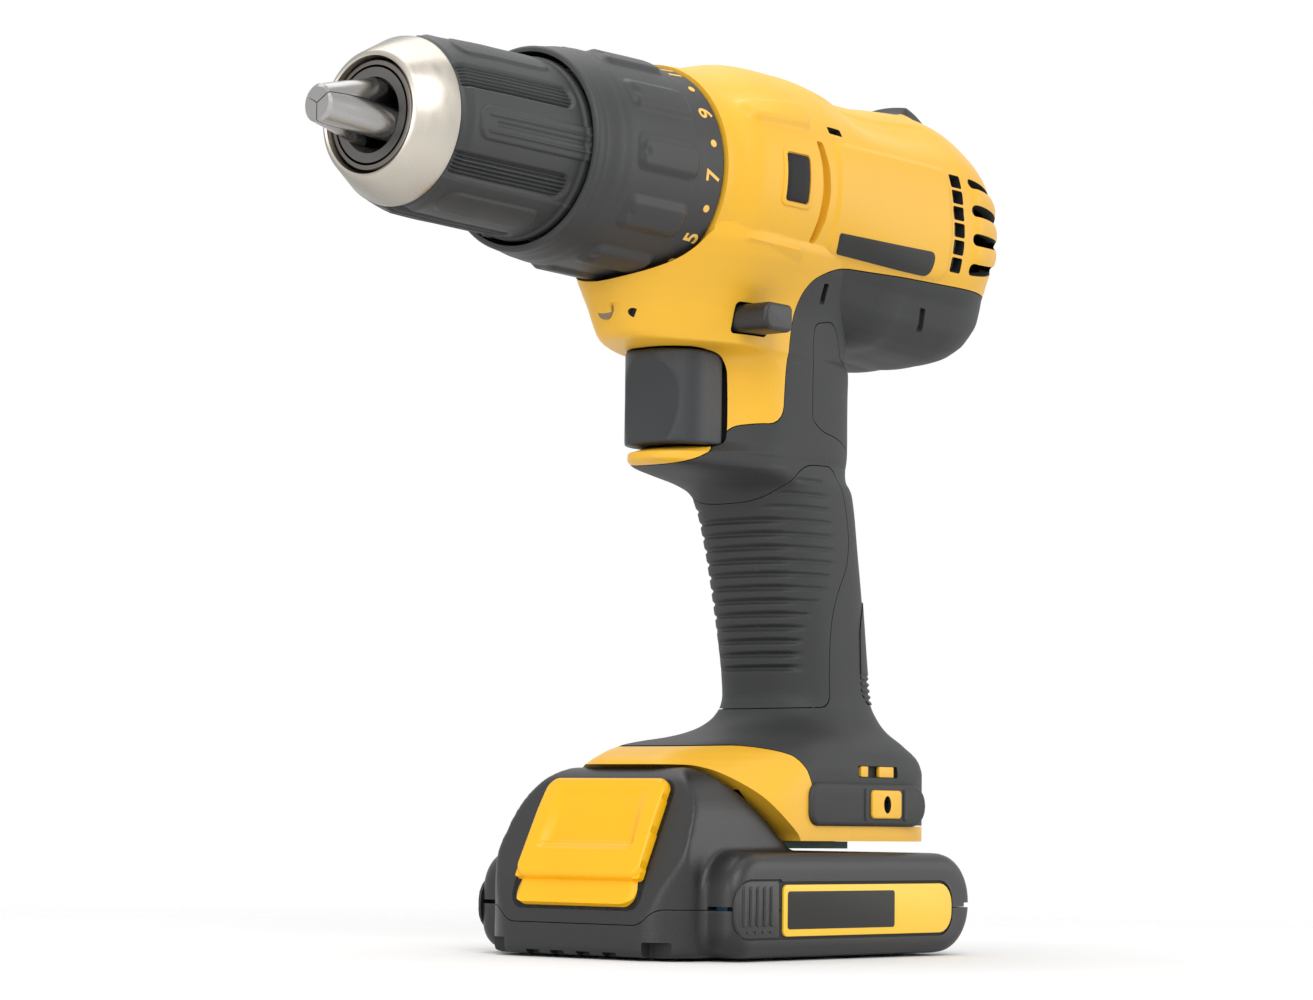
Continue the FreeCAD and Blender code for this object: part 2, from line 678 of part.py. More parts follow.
def chuck_body():
    outline = turned([(chuck_face, 0), (chuck_face, 10.4), (chuck_face + 0.9, 11.2), (nut_in[0] - 0.3, 11.2),
                      (nut_in[0] - 0.3, 9.6), (nut_in[1] + 0.3, 9.6), (nut_in[1] + 0.3, chuck_core_r),
                      (-45.0, chuck_core_r),
                      (-45.0, 17.0), (chuck_back, 17.0), (chuck_back, 0)])
    bore = turned([(chuck_face - 1, 0), (chuck_face - 1, 7.9), (chuck_face + 0.2, 7.9),
                   (chuck_face + 1.6, chuck_bore_r),
                   (-59.6, chuck_bore_r), (-59.6, 4.7), (-57.0, 4.7), (-57.0, spindle_r), (-30, spindle_r),
                   (-30, 0)])
    slides = spread(jaw_blank(jaw_r + 0.1, 5.0, jaw_length + jaw_travel - 2.0), 3)
    room = spread(jaw_blank(jaw_r + 0.1, 5.0, jaw_length + jaw_travel - 2.0 + 1.5), 3)
    return outline.cut(bore).cut(fuse(slides)).cut(fuse(room).common(rod(-60, -45.0, 30)))


def jaw():
    """One jaw at the top, closed: its two inner faces meet the other jaws with a small gap."""
    blank = jaw_blank(jaw_r, -8.0, jaw_length + 8.0)
    wedge = [V(-150, 0, axis_z + jaw_gap)]
    reach = 30.0
    for side in (-1, 1):
        wedge.append(V(-150, side * reach * math.sin(math.radians(60)),
                       axis_z + jaw_gap + reach * math.cos(math.radians(60))))
    keep = Part.Face(Part.makePolygon([wedge[0], wedge[1], V(-150, -60, axis_z + 60),
                                       V(-150, 60, axis_z + 60), wedge[2],
                                       wedge[0]])).extrude(V(200, 0, 0))
    trimmed = blank.common(keep).common(block(-nose_reach, 0, -30, 30, axis_z - 30, axis_z + 40))
    tip = turned([(-nose_reach, 0), (-nose_reach, 3.3), (-nose_reach + 0.9, 4.4), (0, 30), (0, 0)])
    return trimmed.common(tip)


def chuck_nose():
    return turned([(nose_front, 12.3), (nose_front, nose_r[0] - 0.4), (nose_front + 0.5, nose_r[0]),
                   (nose_back, nose_r[1]),
                   (nose_back, 11.5), (nose_front + 2.4, 11.5), (nose_front + 2.4, 12.3)])


def chuck_sleeve():
    ribs_from = nose_back + 6
    shell = turned([(nose_back, 15.9), (nose_back, sleeve_r[0]), (-70.5, 18.7), (-59.6, 19.4), (-47.0, 20.2),
                    (sleeve_back - 0.8, sleeve_r[1]), (sleeve_back, sleeve_r[1] - 0.8),
                    (sleeve_back, 18.2), (-47.0, 18.2),
                    (-71.0, 16.2), (nut_in[1], 15.9)])
    groove = prism_z([(ribs_from, -1.6, 1.5), (-44, -1.6, 1.5), (-44, 1.6, 1.5), (ribs_from, 1.6, 1.5)],
                     axis_z + 18.0, axis_z + 24)
    groove = groove.cut(turned([(-100, 0), (-100, 17.3), (-70.5, 18.2), (-59.6, 18.9), (-47.0, 19.7),
                                (-38, 20.1), (-38, 0)]))
    return shell.cut(fuse(spread(groove, 8, 22.5)))


def chuck_nut():
    """The split nut that drives the jaws, clear of their backs."""
    tilt = math.radians(jaw_tilt)

    def envelope(x):
        return 0.2 + (x + nose_reach) * math.tan(tilt) + jaw_r / math.cos(tilt) + 0.2
    return turned([(nut_in[0], envelope(nut_in[0])), (nut_in[0], 15.9), (nut_in[1], 15.9),
                   (nut_in[1], envelope(nut_in[1]))])


# ---------------------------------------------------------------- motor
def motor_can():
    shell = tube(case_back + 2, can_back, motor_r, motor_r - motor_wall)
    plate = tube(case_back, case_back + 2, motor_r, shaft_r + 0.1)
    windows = spread(block(case_back + 5, case_back + 9, -5, 5, axis_z + 15, axis_z + 30), 4, 45)
    return shell.fuse(plate).cut(fuse(windows))


def motor_magnets():
    ring = tube(44, 78, motor_r - motor_wall - press, motor_r - motor_wall - magnet_t)
    split = block(40, 82, -30, 30, axis_z - 5, axis_z + 5)
    return [s for s in ring.cut(split).Solids]


def brush_holder():
    """The plastic end bell that carries the brushes and the back bearing."""
    shell = turned([(can_back, motor_r - motor_wall - 0.1), (can_back, motor_r), (bell_back, motor_r),
                    (bell_back, shaft_r + 0.1),
                    (bell_back - 4, shaft_r + 0.1), (bell_back - 4, motor_r - 2.4),
                    (can_back + 4, motor_r - 2.4),
                    (can_back + 4, motor_r - motor_wall - 0.1)])
    x0, x1 = brush_x
    tunnels = [block(x0 - 1.2, x1 + 1.2, -3.2, 3.2, *sorted((axis_z + side * 9.6, axis_z + side * 20.5)))
               for side in (-1, 1)]
    bores = [block(x0 - 0.2, x1 + 0.2, -2.2, 2.2, *sorted((axis_z + side * 5, axis_z + side * 24)))
             for side in (-1, 1)]
    air = spread(block(can_back + 5, bell_back - 5, -3.5, 3.5, axis_z + 15, axis_z + 30), 4, 45)
    return shell.multiFuse(tunnels).cut(fuse(bores + air))


def carbon_brushes():
    """Two brushes, each with the cap that its spring pushes from."""
    solids = []
    for side in (1, -1):
        near, far = sorted((axis_z + side * (commutator_r + fit), axis_z + side * 15.5))
        solids.append(block(brush_x[0], brush_x[1], -2.0, 2.0, near, far))
        near, far = sorted((axis_z + side * 15.5, axis_z + side * 21.5))
        solids.append(block(brush_x[0] + 0.2, brush_x[1] - 0.2, -1.8, 1.8, near, far))
    return solids


def rotor_shaft():
    sun = gear(stage_in[0], stage_in[1], in_ring[0] + 0.1, in_ring[1] - 0.2)
    return rod(in_plate[1] + 1.3, fan_x[1] + 1, shaft_r).fuse(sun)


def rotor_core():
    """The laminated core, slotted, with the copper end turns as separate rings."""
    core = tube(46, 76, core_r, shaft_r)
    slots = spread(block(45, 77, -1.0, 1.0, axis_z + 8.5, axis_z + 20), 9)
    front = tube(40, 46, 13.5, shaft_r + 0.5)
    back = tube(76, 80.5, 13.5, shaft_r + 0.5)
    return [core.cut(fuse(slots)), front, back]


def commutator():
    ring = tube(81.5, commutator_end, commutator_r, shaft_r)
    cuts = spread(block(82.5, commutator_end + 1, -0.2, 0.2, axis_z + commutator_r - 1.1,
                        axis_z + commutator_r + 1), 9)
    return ring.fuse(tube(80.5, 82, 10, shaft_r)).cut(fuse(cuts))


def cooling_fan():
    hub = tube(fan_x[0], fan_x[1], 6, shaft_r)
    disc = tube(fan_x[0], fan_x[0] + 1.5, fan_r, 5.5)
    blade = block(fan_x[0] + 1.2, fan_x[1], -0.6, 0.6, axis_z + 5.5, axis_z + fan_r)
    return fuse([hub, disc] + spread(blade, 12))


# ---------------------------------------------------------------- controls
def speed_selector():
    """The sliding button on top, with the bracket that reaches forward to the shift ring."""
    top_z = axis_z + 26.6
    knob = block(speed_x[0], speed_x[1], -speed_half, speed_half, axis_z + 22.9, top_z - 1.0)
    grips = [block(speed_x[0] + 1 + 2.2 * i, speed_x[0] + 2 + 2.2 * i, -speed_half + 0.6, speed_half - 0.6,
                   top_z - 1.2, top_z)
             for i in range(3)]
    strip = block(shift_ring_x[0] + 3.0, speed_x[0] + 1, -4.0, 4.0, axis_z + 22.9, axis_z + 23.9)
    tab = block(shift_ring_x[0] + 3.0, shift_ring_x[0] + 4.2, -4.0, 4.0, axis_z + 15.0,
                axis_z + 23.5).cut(rod(0, 40, 19.45))
    return fuse([knob, strip, tab] + grips)


def shift_ring():
    ring = stage_ring(stage_mid, shift_ring_x[0], shift_ring_x[1], case_r - case_wall - fit)
    return ring.cut(tube(shift_ring_x[0] + 2.9, shift_ring_x[0] + 4.3, 30, 19.35))


def switch_body():
    """The trigger switch, with a bore for the trigger's stem."""
    x = switch_front
    body = prism_y([(x, 112.4, 1), (x + 21, 112.4, 2), (x + 24, 122, 2), (x + 24, 134.6, 2),
                    (x, 134.6, 1)], -9.2, 9.2)
    return body.cut(rod(x - 1, x + 10, 3.3, 0, trigger_stem_z))


def trigger():
    """The finger piece: hollowed front, flat flanks that slide in the housing, and the stem."""
    low, high = trigger_z
    side = prism_y([(-3.4, high, 0.6), (0.5, high - 5.5, 4), (4.2, high - 10, 8), (4.6, low + 6, 6),
                    (2.6, low, 2),
                    (trigger_back, low, 0.6), (trigger_back, high, 0.6)], -trigger_half, trigger_half)
    plan = prism_z([(-5, -trigger_half, 6.5), (21, -trigger_half, 0), (21, trigger_half, 0),
                    (-5, trigger_half, 6.5)],
                   low - 1, high + 1)
    return side.common(plan).fuse(rod(trigger_back - 1, switch_front + 2, 3.0, 0, trigger_stem_z))


def trigger_spring():
    spring = coil(trigger_back + 0.1, switch_front - 0.1, 4.4, 0.8, 5)
    spring.translate(V(0, 0, trigger_stem_z))
    return spring


def direction_selector():
    """The bar through the housing that picks forward or reverse."""
    x0, x1 = selector_x
    plan = prism_z([(x0, -selector_reach + 2.0, 1.2), (x0 + 2.0, -selector_reach, 1.2),
                    (x1 - 2.0, -selector_reach, 1.2),
                    (x1, -selector_reach + 2.0, 1.2), (x1, selector_back_reach - 2, 1.2),
                    (x1 - 2.0, selector_back_reach, 1.2),
                    (x0 + 2, selector_back_reach, 1.2), (x0, selector_back_reach - 2, 1.2)], *selector_z)
    return plan


def work_light():
    """The lamp's lens, flush in the chin, and the small board behind it."""
    lens = rod(lamp_x, lamp_x + 5.0, lamp_r, 0, lamp_z)
    return [lens, block(lamp_x + 5.0, lamp_x + 6.2, -3.4, 3.4, lamp_z - 2.0, lamp_z + 2.6)]


def side_labels():
    """A blank label and a blank badge on each flank, bent to the housing."""
    solids = []
    film = barrel(-label_t).fuse(belly(-label_t)).cut(barrel(-press).fuse(belly(-press)))
    for side in (-1, 1):
        label = prism_y([(31.0, 156.4, 1.5), (69.0, 156.4, 1.5), (71.0, 161.0, 1.5), (33.0, 161.8, 1.5)],
                        side * 15, side * 40)
        badge = prism_y([(12.6, 163.4, 1.5), (24.2, 163.4, 1.5), (24.6, 180.2, 1.5), (12.6, 178.2, 1.5)],
                        side * 15, side * 40)
        solids += [label.common(film), badge.common(film)]
    return solids


def terminal_block():
    """The contact block at the back of the bay, with its blades as separate solids."""
    body = block(61.8, 71.0, -20, 20, foot_z + wall, bay_top).cut(
        Part.makeCylinder(boss_r + fit, 60, V(72.0, -30, 41.0), V(0, 1, 0)))
    blades = [block(50, 61.8, y - 0.4, y + 0.4, 28.5, 33.0) for y in contact_rows]
    return [body] + blades


def lead(points, r):
    """An insulated wire: straight runs joined by arcs that touch them."""
    spots = [V(*p) for p in points]
    edges = []
    start = spots[0]
    for before, here, after in zip(spots, spots[1:], spots[2:]):
        back = before - here
        on = after - here
        half = back.getAngle(on) / 2
        reach = 0.45 * min(back.Length, on.Length)
        radius = reach * math.tan(half)
        back.normalize()
        on.normalize()
        bisector = back + on
        bisector.normalize()
        a, b = here + back * reach, here + on * reach
        middle = here + bisector * (radius / math.sin(half) - radius)
        edges.append(Part.LineSegment(start, a).toShape())
        edges.append(Part.Arc(a, middle, b).toShape())
        start = b
    edges.append(Part.LineSegment(start, spots[-1]).toShape())
    path = Part.Wire(edges)
    direction = spots[1] - spots[0]
    section = Part.Wire([Part.makeCircle(r, spots[0], direction)])
    return path.makePipeShell([section], True, False)


def wiring():
    """Two leads from the contacts up the grip to the switch, and two from the switch to the brushes."""
    leads = []
    for y in (-6.0, 6.0):
        leads.append(lead([(66, y, bay_top), (64, y, 46), (58, y, 58), (53, y, 76), (48, y, 92),
                           (47, y, 104), (45, y, 112.4)], 1.2))
        leads.append(lead([(46, y, 134.8), (47, y, 141), (53, y * 1.1, 147.4), (70, y * 1.3, 147.4),
                           (80, y * 1.3, 147.6),
                           (87, y * 1.3, 147.4), (91, y * 1.3, 148.6)], 1.0))
    return leads


# ---------------------------------------------------------------- battery
def cell_places():
    """Stations of the cell axes, from the back of the pack."""
    first = pack_back - pack_wall - cell_r - 0.2
    return [first - cell_pitch * i for i in range(cell_count)]


def pack_form(t):
    """The outer form of the battery, inset by t."""
    pods = prism_y([(pod_front + t, t, 6), (pack_back - t, t, 11 - t), (pack_back - t, deck_z - t, 11 - t),
                    (pod_front + t, deck_z - t, 8)], -pack_half + t, pack_half - t)
    body_side = prism_y([(pack_front + t, t, 2), (72, t, 0), (72, deck_z - t, 0), (22.5 - t, deck_z - t, 2),
                         (2.2 - t, tower_z - t, 2), (-5.0 + t, tower_z - t, 3),
                         (pack_front + t + 1.0, 12, 5)],
                        -tower_half + t, tower_half - t)
    plan = prism_z(half_plan(tower_half - t, 12, pack_front + t, 80), -5, 60)
    return fuse([pods, body_side.common(plan)])


def riser(t):
    """The contact riser, with the side flanges that run in the foot."""
    neck = block(riser_x[0] + t, riser_x[1] - t, -riser_neck + t, riser_neck - t, deck_z - 4, 30)
    head = block(riser_x[0] + t, riser_x[1] - t, -riser_half + t, riser_half - t, lip_z + 0.5 + t,
                 bay_top - 1.2 - t)
    return neck.fuse(head)


def button_plate(t):
    """The release button as a sloping plate, grown by t."""
    (x0, z0), (x1, z1) = button_slope
    return prism_y([(x0 - t, z0 - t, 1.5), (x0 + 6.0 + t, z0 - t, 0), (x1 + 4.5 + t, z1 + t, 0),
                    (x1 - t, z1 + t, 1.5)],
                   -button_half - t, button_half + t)


def battery_shells():
    """The lower and upper shells, split at the seam."""
    full = pack_form(0).fuse(riser(0)).cut(pack_form(pack_wall)).cut(riser(pack_wall))
    rib = block(1.0, 2.6, -tower_half + 1, tower_half - 1, 21.0, 31.0).common(pack_form(pack_wall - 0.5))
    posts = fuse([Part.makeCylinder(3.0, split_z + 5.0 - 1.0, V(x, y, 1.0)) for x, y in pack_screws])
    slots = [block(46, riser_x[1] + 1, y - 1.4, y + 1.4, 24.0, 33.8) for y in contact_rows]
    full = full.cut(fuse(slots)).cut(button_plate(fit)).fuse(rib).fuse(posts)
    holes = [Part.makeCylinder(1.2, 12.0, V(x, y, 0.5)).fuse(Part.makeCylinder(2.6, 2.4, V(x, y, -0.5)))
             for x, y in pack_screws]
    full = full.cut(fuse(holes))
    below = block(-60, 120, -60, 60, -10, split_z)
    round_cells = fuse([Part.makeCylinder(cell_r + seat, 90, V(x, -45, cell_z), V(0, 1, 0))
                        for x in cell_places()])
    rails = [block(-8, 74, y, y + 2, pack_wall - 0.5, 6.0) for y in (-28, 26)]
    cradles = [rail.cut(round_cells).common(pack_form(pack_wall - 0.4)) for rail in rails]
    return full.common(below).multiFuse(cradles), full.cut(below)


def battery_cells():
    """Five cells side by side, and the strips that join them."""
    cells = []
    for x in cell_places():
        can = Part.makeCylinder(cell_r, cell_length, V(x, -cell_length / 2, cell_z), V(0, 1, 0))
        cells.append(can.fuse(Part.makeCylinder(2.8, 0.6, V(x, cell_length / 2, cell_z), V(0, 1, 0))))
    places = cell_places()
    for side, first in ((1, 0), (-1, 1)):
        for a, b in zip(places[first::2], places[first + 1::2]):
            y = side * (cell_length / 2 + (0.6 if side > 0 else 0.0))
            near, far = sorted((y, y + side * 0.3))
            cells.append(block(b - 3, a + 3, near, far, cell_z - 3, cell_z + 3))
    return cells


def battery_board():
    """The board over the cells, and a pair of spring clips beside each contact blade."""
    board = block(riser_x[0] + 2.4, riser_x[1] - 2.4, -15.5, 15.5, 23.2, 24.8)
    clips = [block(47, 56, y + d - 0.2, y + d + 0.2, 24.8, 32.0) for y in contact_rows for d in (-0.95, 0.95)]
    stand = block(24.4, 27.4, -12, 12, 18.6, 23.2)
    return [board, stand] + clips


def battery_screws():
    return [Part.makeCylinder(1.2, 11.0, V(x, y, 0.7)).fuse(Part.makeCylinder(2.4, 1.4, V(x, y, 0.4)))
            for x, y in pack_screws]


def battery_labels():
    outline = [(6.6, 4.6, 1.2), (68.5, 4.6, 5.2), (68.5, 15.8, 5.2), (6.6, 15.8, 1.2)]
    return [prism_y(outline, -pack_half - label_t, -pack_half),
            prism_y(outline, pack_half, pack_half + label_t)]


def release_button():
    """The thumb plate with its dished face, and a boss behind it for the spring."""
    dish = prism_y([(-20.5, 17.0, 1.5), (-14.8, 17.0, 1.5), (-6.4, 34.0, 1.5), (-12.4, 34.0, 1.5)],
                   -12.5, 12.5)
    return button_plate(0).cut(dish)


def release_spring():
    spring = coil(release_spring_x[0], release_spring_x[1], 2.6, 0.7, 4)
    spring.translate(V(0, 0, release_spring_z))
    return spring


# ---------------------------------------------------------------- files
def write(name, shapes):
    solids = []
    for shape in shapes if isinstance(shapes, list) else [shapes]:
        solids += shape.Solids
    group = solids[0] if len(solids) == 1 else Part.makeCompound(solids)
    group.translate(V(face_x, 0, 0))
    group.exportStep(os.path.join("parts", name + ".step"))
    box = group.BoundBox
    sizes = [round(v, 1) for v in (box.XLength, box.YLength, box.ZLength)]
    print(name, len(solids), sizes, group.isValid())


def build():
    """Write every node."""
    for name, shape in housing_solids().items():
        write(name, shape)
    write("housing_screws", housing_screws())
    write("gear_case", gear_case())
    write("clutch_collar", clutch_collar())
    write("clutch_nut", clutch_nut())
    write("clutch_spring", clutch_spring())
    write("clutch_thrust_set", clutch_thrust_set())
    write("fixed_ratchet", fixed_ratchet())
    write("spindle", spindle())
    write("output_carrier", output_carrier())
    write("output_ring", stage_ring(stage_out, out_ring[0], out_ring[1], case_r - case_wall - seat))
    write("shift_ring", shift_ring())
    write("input_ring", stage_ring(stage_in, in_ring[0], in_ring[1], case_r - case_wall))
    write("middle_carrier", carrier(stage_mid, mid_plate, mid_planet[1] + 0.4, 16.4, stage_out,
                                    out_planet[0] + 0.2))
    write("input_carrier", carrier(stage_in, in_plate, in_planet[1] + 0.2, 16.4, stage_mid,
                                   mid_planet[0] - 0.2))
    for stage, name, (x0, x1) in ((stage_out, "output", out_planet), (stage_mid, "middle", mid_planet),
                                  (stage_in, "input", in_planet)):
        for number in range(planets_per_stage):
            write(name + "_planet_" + str(number + 1), planet(stage, number, x0, x1))
    write("bearings", spindle_bearings() + motor_bearings())
    write("motor_can", motor_can())
    write("motor_magnets", motor_magnets())
    write("rotor_core", rotor_core() + [commutator()])
    write("rotor_shaft", rotor_shaft())
    write("cooling_fan", cooling_fan())
    write("brush_holder", brush_holder())
    write("carbon_brushes", carbon_brushes())
    write("chuck_body", chuck_body())
    write("chuck_screw", chuck_screw())
    write("chuck_nose", chuck_nose())
    write("chuck_sleeve", chuck_sleeve())
    write("chuck_nut", chuck_nut())
    for number, solid in enumerate(spread(jaw(), 3)):
        write("jaw_" + str(number + 1), solid)
    write("switch_body", switch_body())
    write("trigger", trigger())
    write("trigger_spring", trigger_spring())
    write("direction_selector", direction_selector())
    write("speed_selector", speed_selector())
    write("work_light", work_light())
    write("side_labels", side_labels())
    write("terminal_block", terminal_block())
    write("wiring", wiring())
    lower, upper = battery_shells()
    write("battery_base", lower)
    write("battery_cover", upper)
    write("battery_cells", battery_cells())
    write("battery_board", battery_board())
    write("battery_screws", battery_screws())
    write("battery_labels", battery_labels())
    write("release_button", release_button())
    write("release_spring", release_spring())


os.makedirs("parts", exist_ok=True)
build()
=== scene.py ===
import bpy
import bmesh
import json
import math
from mathutils import Matrix, Vector


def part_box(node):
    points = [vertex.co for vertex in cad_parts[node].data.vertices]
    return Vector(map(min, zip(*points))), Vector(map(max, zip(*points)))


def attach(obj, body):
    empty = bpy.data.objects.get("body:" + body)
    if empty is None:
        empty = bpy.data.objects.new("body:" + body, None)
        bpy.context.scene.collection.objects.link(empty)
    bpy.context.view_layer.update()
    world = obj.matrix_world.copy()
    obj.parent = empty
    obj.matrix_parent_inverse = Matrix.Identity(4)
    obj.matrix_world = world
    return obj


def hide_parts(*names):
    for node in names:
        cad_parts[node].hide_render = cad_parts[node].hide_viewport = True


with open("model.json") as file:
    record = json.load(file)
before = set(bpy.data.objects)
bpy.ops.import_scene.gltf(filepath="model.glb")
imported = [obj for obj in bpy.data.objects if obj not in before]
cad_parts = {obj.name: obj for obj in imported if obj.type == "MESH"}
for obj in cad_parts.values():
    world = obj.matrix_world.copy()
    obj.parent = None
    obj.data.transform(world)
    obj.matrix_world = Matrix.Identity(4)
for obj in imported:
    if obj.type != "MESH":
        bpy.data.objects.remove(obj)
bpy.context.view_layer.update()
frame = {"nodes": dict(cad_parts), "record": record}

MM = 0.001
barrel_r = 29.3        # radius at which arcs on the housing are measured, in mm
wall = 2.6             # thickness of the housing, in mm as all that follow
seam = 0.22            # open line between neighbouring mouldings
fine_seam = 0.2        # round the thumb panels and between the battery shells

# plane where the collar meets the housing, and height of the spindle axis in mm
gear_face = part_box("clutch_collar")[1].x + 0.3 * MM
case_low, case_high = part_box("gear_case")
axis_z = (case_low.z + case_high.z) / 2 / MM


def at(x, y, z):
    """A point in mm, x from the gear face, turned into the frame's metres."""
    return Vector((gear_face + x * MM, y * MM, z * MM))


def polar(x, r, turn):
    """A point round the spindle axis; turn is in degrees from the top towards the left flank."""
    a = math.radians(turn)
    return at(x, -r * math.sin(a), axis_z + r * math.cos(a))


def step(a, b, t):
    """0 below a, 1 above b, smooth between; with a above b it falls instead."""
    s = min(1.0, max(0.0, (t - a) / (b - a)))
    return s * s * (3 - 2 * s)


def along(table, t):
    """Smooth value between the stations of a table of (station, value) pairs."""
    if t <= table[0][0]:
        return table[0][1]
    for (a, va), (b, vb) in zip(table, table[1:]):
        if t <= b:
            return va + (vb - va) * step(a, b, t)
    return table[-1][1]


def straight(table, t):
    """Straight-line value between the stations of a table."""
    if t <= table[0][0]:
        return table[0][1]
    for (a, va), (b, vb) in zip(table, table[1:]):
        if t <= b:
            return va + (vb - va) * (t - a) / (b - a)
    return table[-1][1]


def window(t, a, b, soft):
    """1 between a and b, 0 outside, with soft shoulders centred on the ends."""
    return step(a - soft / 2, a + soft / 2, t) * (1 - step(b - soft / 2, b + soft / 2, t))


def slab(u, v, u0, u1, v0, v1, r):
    """Signed distance to a rectangle with rounded corners, negative inside."""
    du = abs(u - (u0 + u1) / 2) - (u1 - u0) / 2 + r
    dv = abs(v - (v0 + v1) / 2) - (v1 - v0) / 2 + r
    return math.hypot(max(du, 0), max(dv, 0)) + min(max(du, dv), 0) - r


def rise(d, soft):
    """1 well inside an outline and 0 outside it, from its signed distance."""
    return 1 - step(-soft, 0, d)


# ---------------------------------------------------------------- meshes
def piece(name, bm, paint, body, replaces=(), smooth=True, sharp=40):
    """Finishes a mesh into a painted piece that rides on a body of the frame."""
    bmesh.ops.recalc_face_normals(bm, faces=bm.faces)
    mesh = bpy.data.meshes.new(name)
    bm.to_mesh(mesh)
    bm.free()
    obj = bpy.data.objects.new(name, mesh)
    bpy.context.scene.collection.objects.link(obj)
    mesh.materials.append(paint)
    shade(mesh, smooth, sharp)
    if body:
        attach(obj, body)
        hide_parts(*replaces)
    return obj


def shade(mesh, smooth=True, sharp=40):
    """Smooth shading with sharp edges kept above an angle in degrees."""
    for poly in mesh.polygons:
        poly.use_smooth = smooth
    if smooth:
        mesh.set_sharp_from_angle(angle=math.radians(sharp))


def own(obj, body, *replaces):
    """Lets a finished object ride on a body, in the place of the nodes it stands for."""
    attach(obj, body)
    if replaces:
        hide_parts(*replaces)
    return obj


def patch(nu, nv, place):
    """A fine sheet of quads shaped by place(u, v), closed round u and capped at both ends of v."""
    bm = bmesh.new()
    bmesh.ops.create_grid(bm, x_segments=nu, y_segments=nv, size=1.0)
    for vert in bm.verts:
        vert.co = place((vert.co.x + 1) / 2, (vert.co.y + 1) / 2)
    bmesh.ops.remove_doubles(bm, verts=bm.verts, dist=2e-6)
    bmesh.ops.holes_fill(bm, edges=[e for e in bm.edges if e.is_boundary], sides=0)
    return bm


def lathe(profile, steps):
    """Spins (x, radius) corners a full turn round the spindle axis."""
    bm = bmesh.new()
    verts = [bm.verts.new(at(x, 0, axis_z + r)) for x, r in profile]
    edges = [bm.edges.new(pair) for pair in zip(verts, verts[1:] + verts[:1])]
    bmesh.ops.spin(bm, geom=verts + edges, cent=at(0, 0, axis_z), axis=(1, 0, 0), dvec=(0, 0, 0),
                   angle=math.radians(360.0), steps=steps, use_merge=True)
    bmesh.ops.remove_doubles(bm, verts=bm.verts, dist=1e-6)
    return bm


def soften(bm, edges, width, segments=3):
    """Rounds edges by a width in mm."""
    bmesh.ops.bevel(bm, geom=edges, offset=width * MM, offset_type="OFFSET", segments=segments,
                    profile=0.5, affect="EDGES", material=-1, clamp_overlap=True)


def verts_in(geom):
    """The vertices among what an operator made."""
    return [g for g in geom if isinstance(g, bmesh.types.BMVert)]


def prism(points, lo, hi, across="y", rim=0.0, segments=5, rim_segments=3):
    """A block with an outline of (u, v, corner radius), drawn out across an axis, with a rounded rim."""
    place = {"y": lambda u, v, w: at(u, w, v),
             "x": lambda u, v, w: at(w, u, v),
             "z": lambda u, v, w: at(u, v, w),
             "flat": lambda u, v, w: Vector((u, v, w)) * MM}[across]
    bm = bmesh.new()
    low = [bm.verts.new(place(u, v, lo)) for u, v, _ in points]
    face = bm.faces.new(low)
    made = bmesh.ops.extrude_face_region(bm, geom=[face])["geom"]
    shift = place(0, 0, hi) - place(0, 0, lo)
    bmesh.ops.translate(bm, verts=verts_in(made), vec=shift)
    bmesh.ops.recalc_face_normals(bm, faces=bm.faces)
    unit = shift.normalized()
    for u, v, r in points:
        if r > 0:
            foot = place(u, v, lo)
            edge = [e for e in bm.edges if min((w.co - foot).length for w in e.verts) < 1e-7
                    and abs((e.verts[1].co - e.verts[0].co).normalized().dot(unit)) > 0.999]
            soften(bm, edge, r, segments)
    if rim > 0:
        ends = [e for e in bm.edges if abs((e.verts[1].co - e.verts[0].co).dot(unit)) < 1e-8
                and any(abs(f.normal.dot(unit)) > 0.99 for f in e.link_faces)
                and any(abs(f.normal.dot(unit)) < 0.9 for f in e.link_faces)]
        soften(bm, ends, rim, rim_segments)
    return bm


def cuboid(x0, x1, y0, y1, z0, z1, rim=0.0):
    """A block between two corners, for cuts and small parts, with its edges rounded by rim."""
    bm = bmesh.new()
    bmesh.ops.create_cube(bm, size=1.0)
    low, high = at(x0, y0, z0), at(x1, y1, z1)
    for vert in bm.verts:
        vert.co = Vector([low[i] + (vert.co[i] + 0.5) * (high[i] - low[i]) for i in range(3)])
    if rim > 0:
        soften(bm, bm.edges[:], rim)
    return bm


def merged(*parts):
    """Several meshes in one, without joining their surfaces."""
    whole = parts[0]
    for part in parts[1:]:
        spare = bpy.data.meshes.new("spare")
        part.to_mesh(spare)
        part.free()
        whole.from_mesh(spare)
        bpy.data.meshes.remove(spare)
    return whole


def solid(bm, paint=None):
    """A bare object, to cut with or to be cut."""
    bmesh.ops.recalc_face_normals(bm, faces=bm.faces)
    mesh = bpy.data.meshes.new("cutter")
    bm.to_mesh(mesh)
    bm.free()
    obj = bpy.data.objects.new("cutter", mesh)
    bpy.context.scene.collection.objects.link(obj)
    if paint:
        mesh.materials.append(paint)
    return obj


def shaped_mesh(obj):
    """A plain mesh of an object as its modifiers or settings shape it."""
    bpy.context.view_layer.update()
    view = bpy.context.evaluated_depsgraph_get()
    return bpy.data.meshes.new_from_object(obj.evaluated_get(view))


def settle(obj, sharp):
    """Makes what the modifiers give the object's own mesh."""
    mesh = shaped_mesh(obj)
    obj.modifiers.clear()
    obj.data = mesh
    shade(mesh, True, sharp)


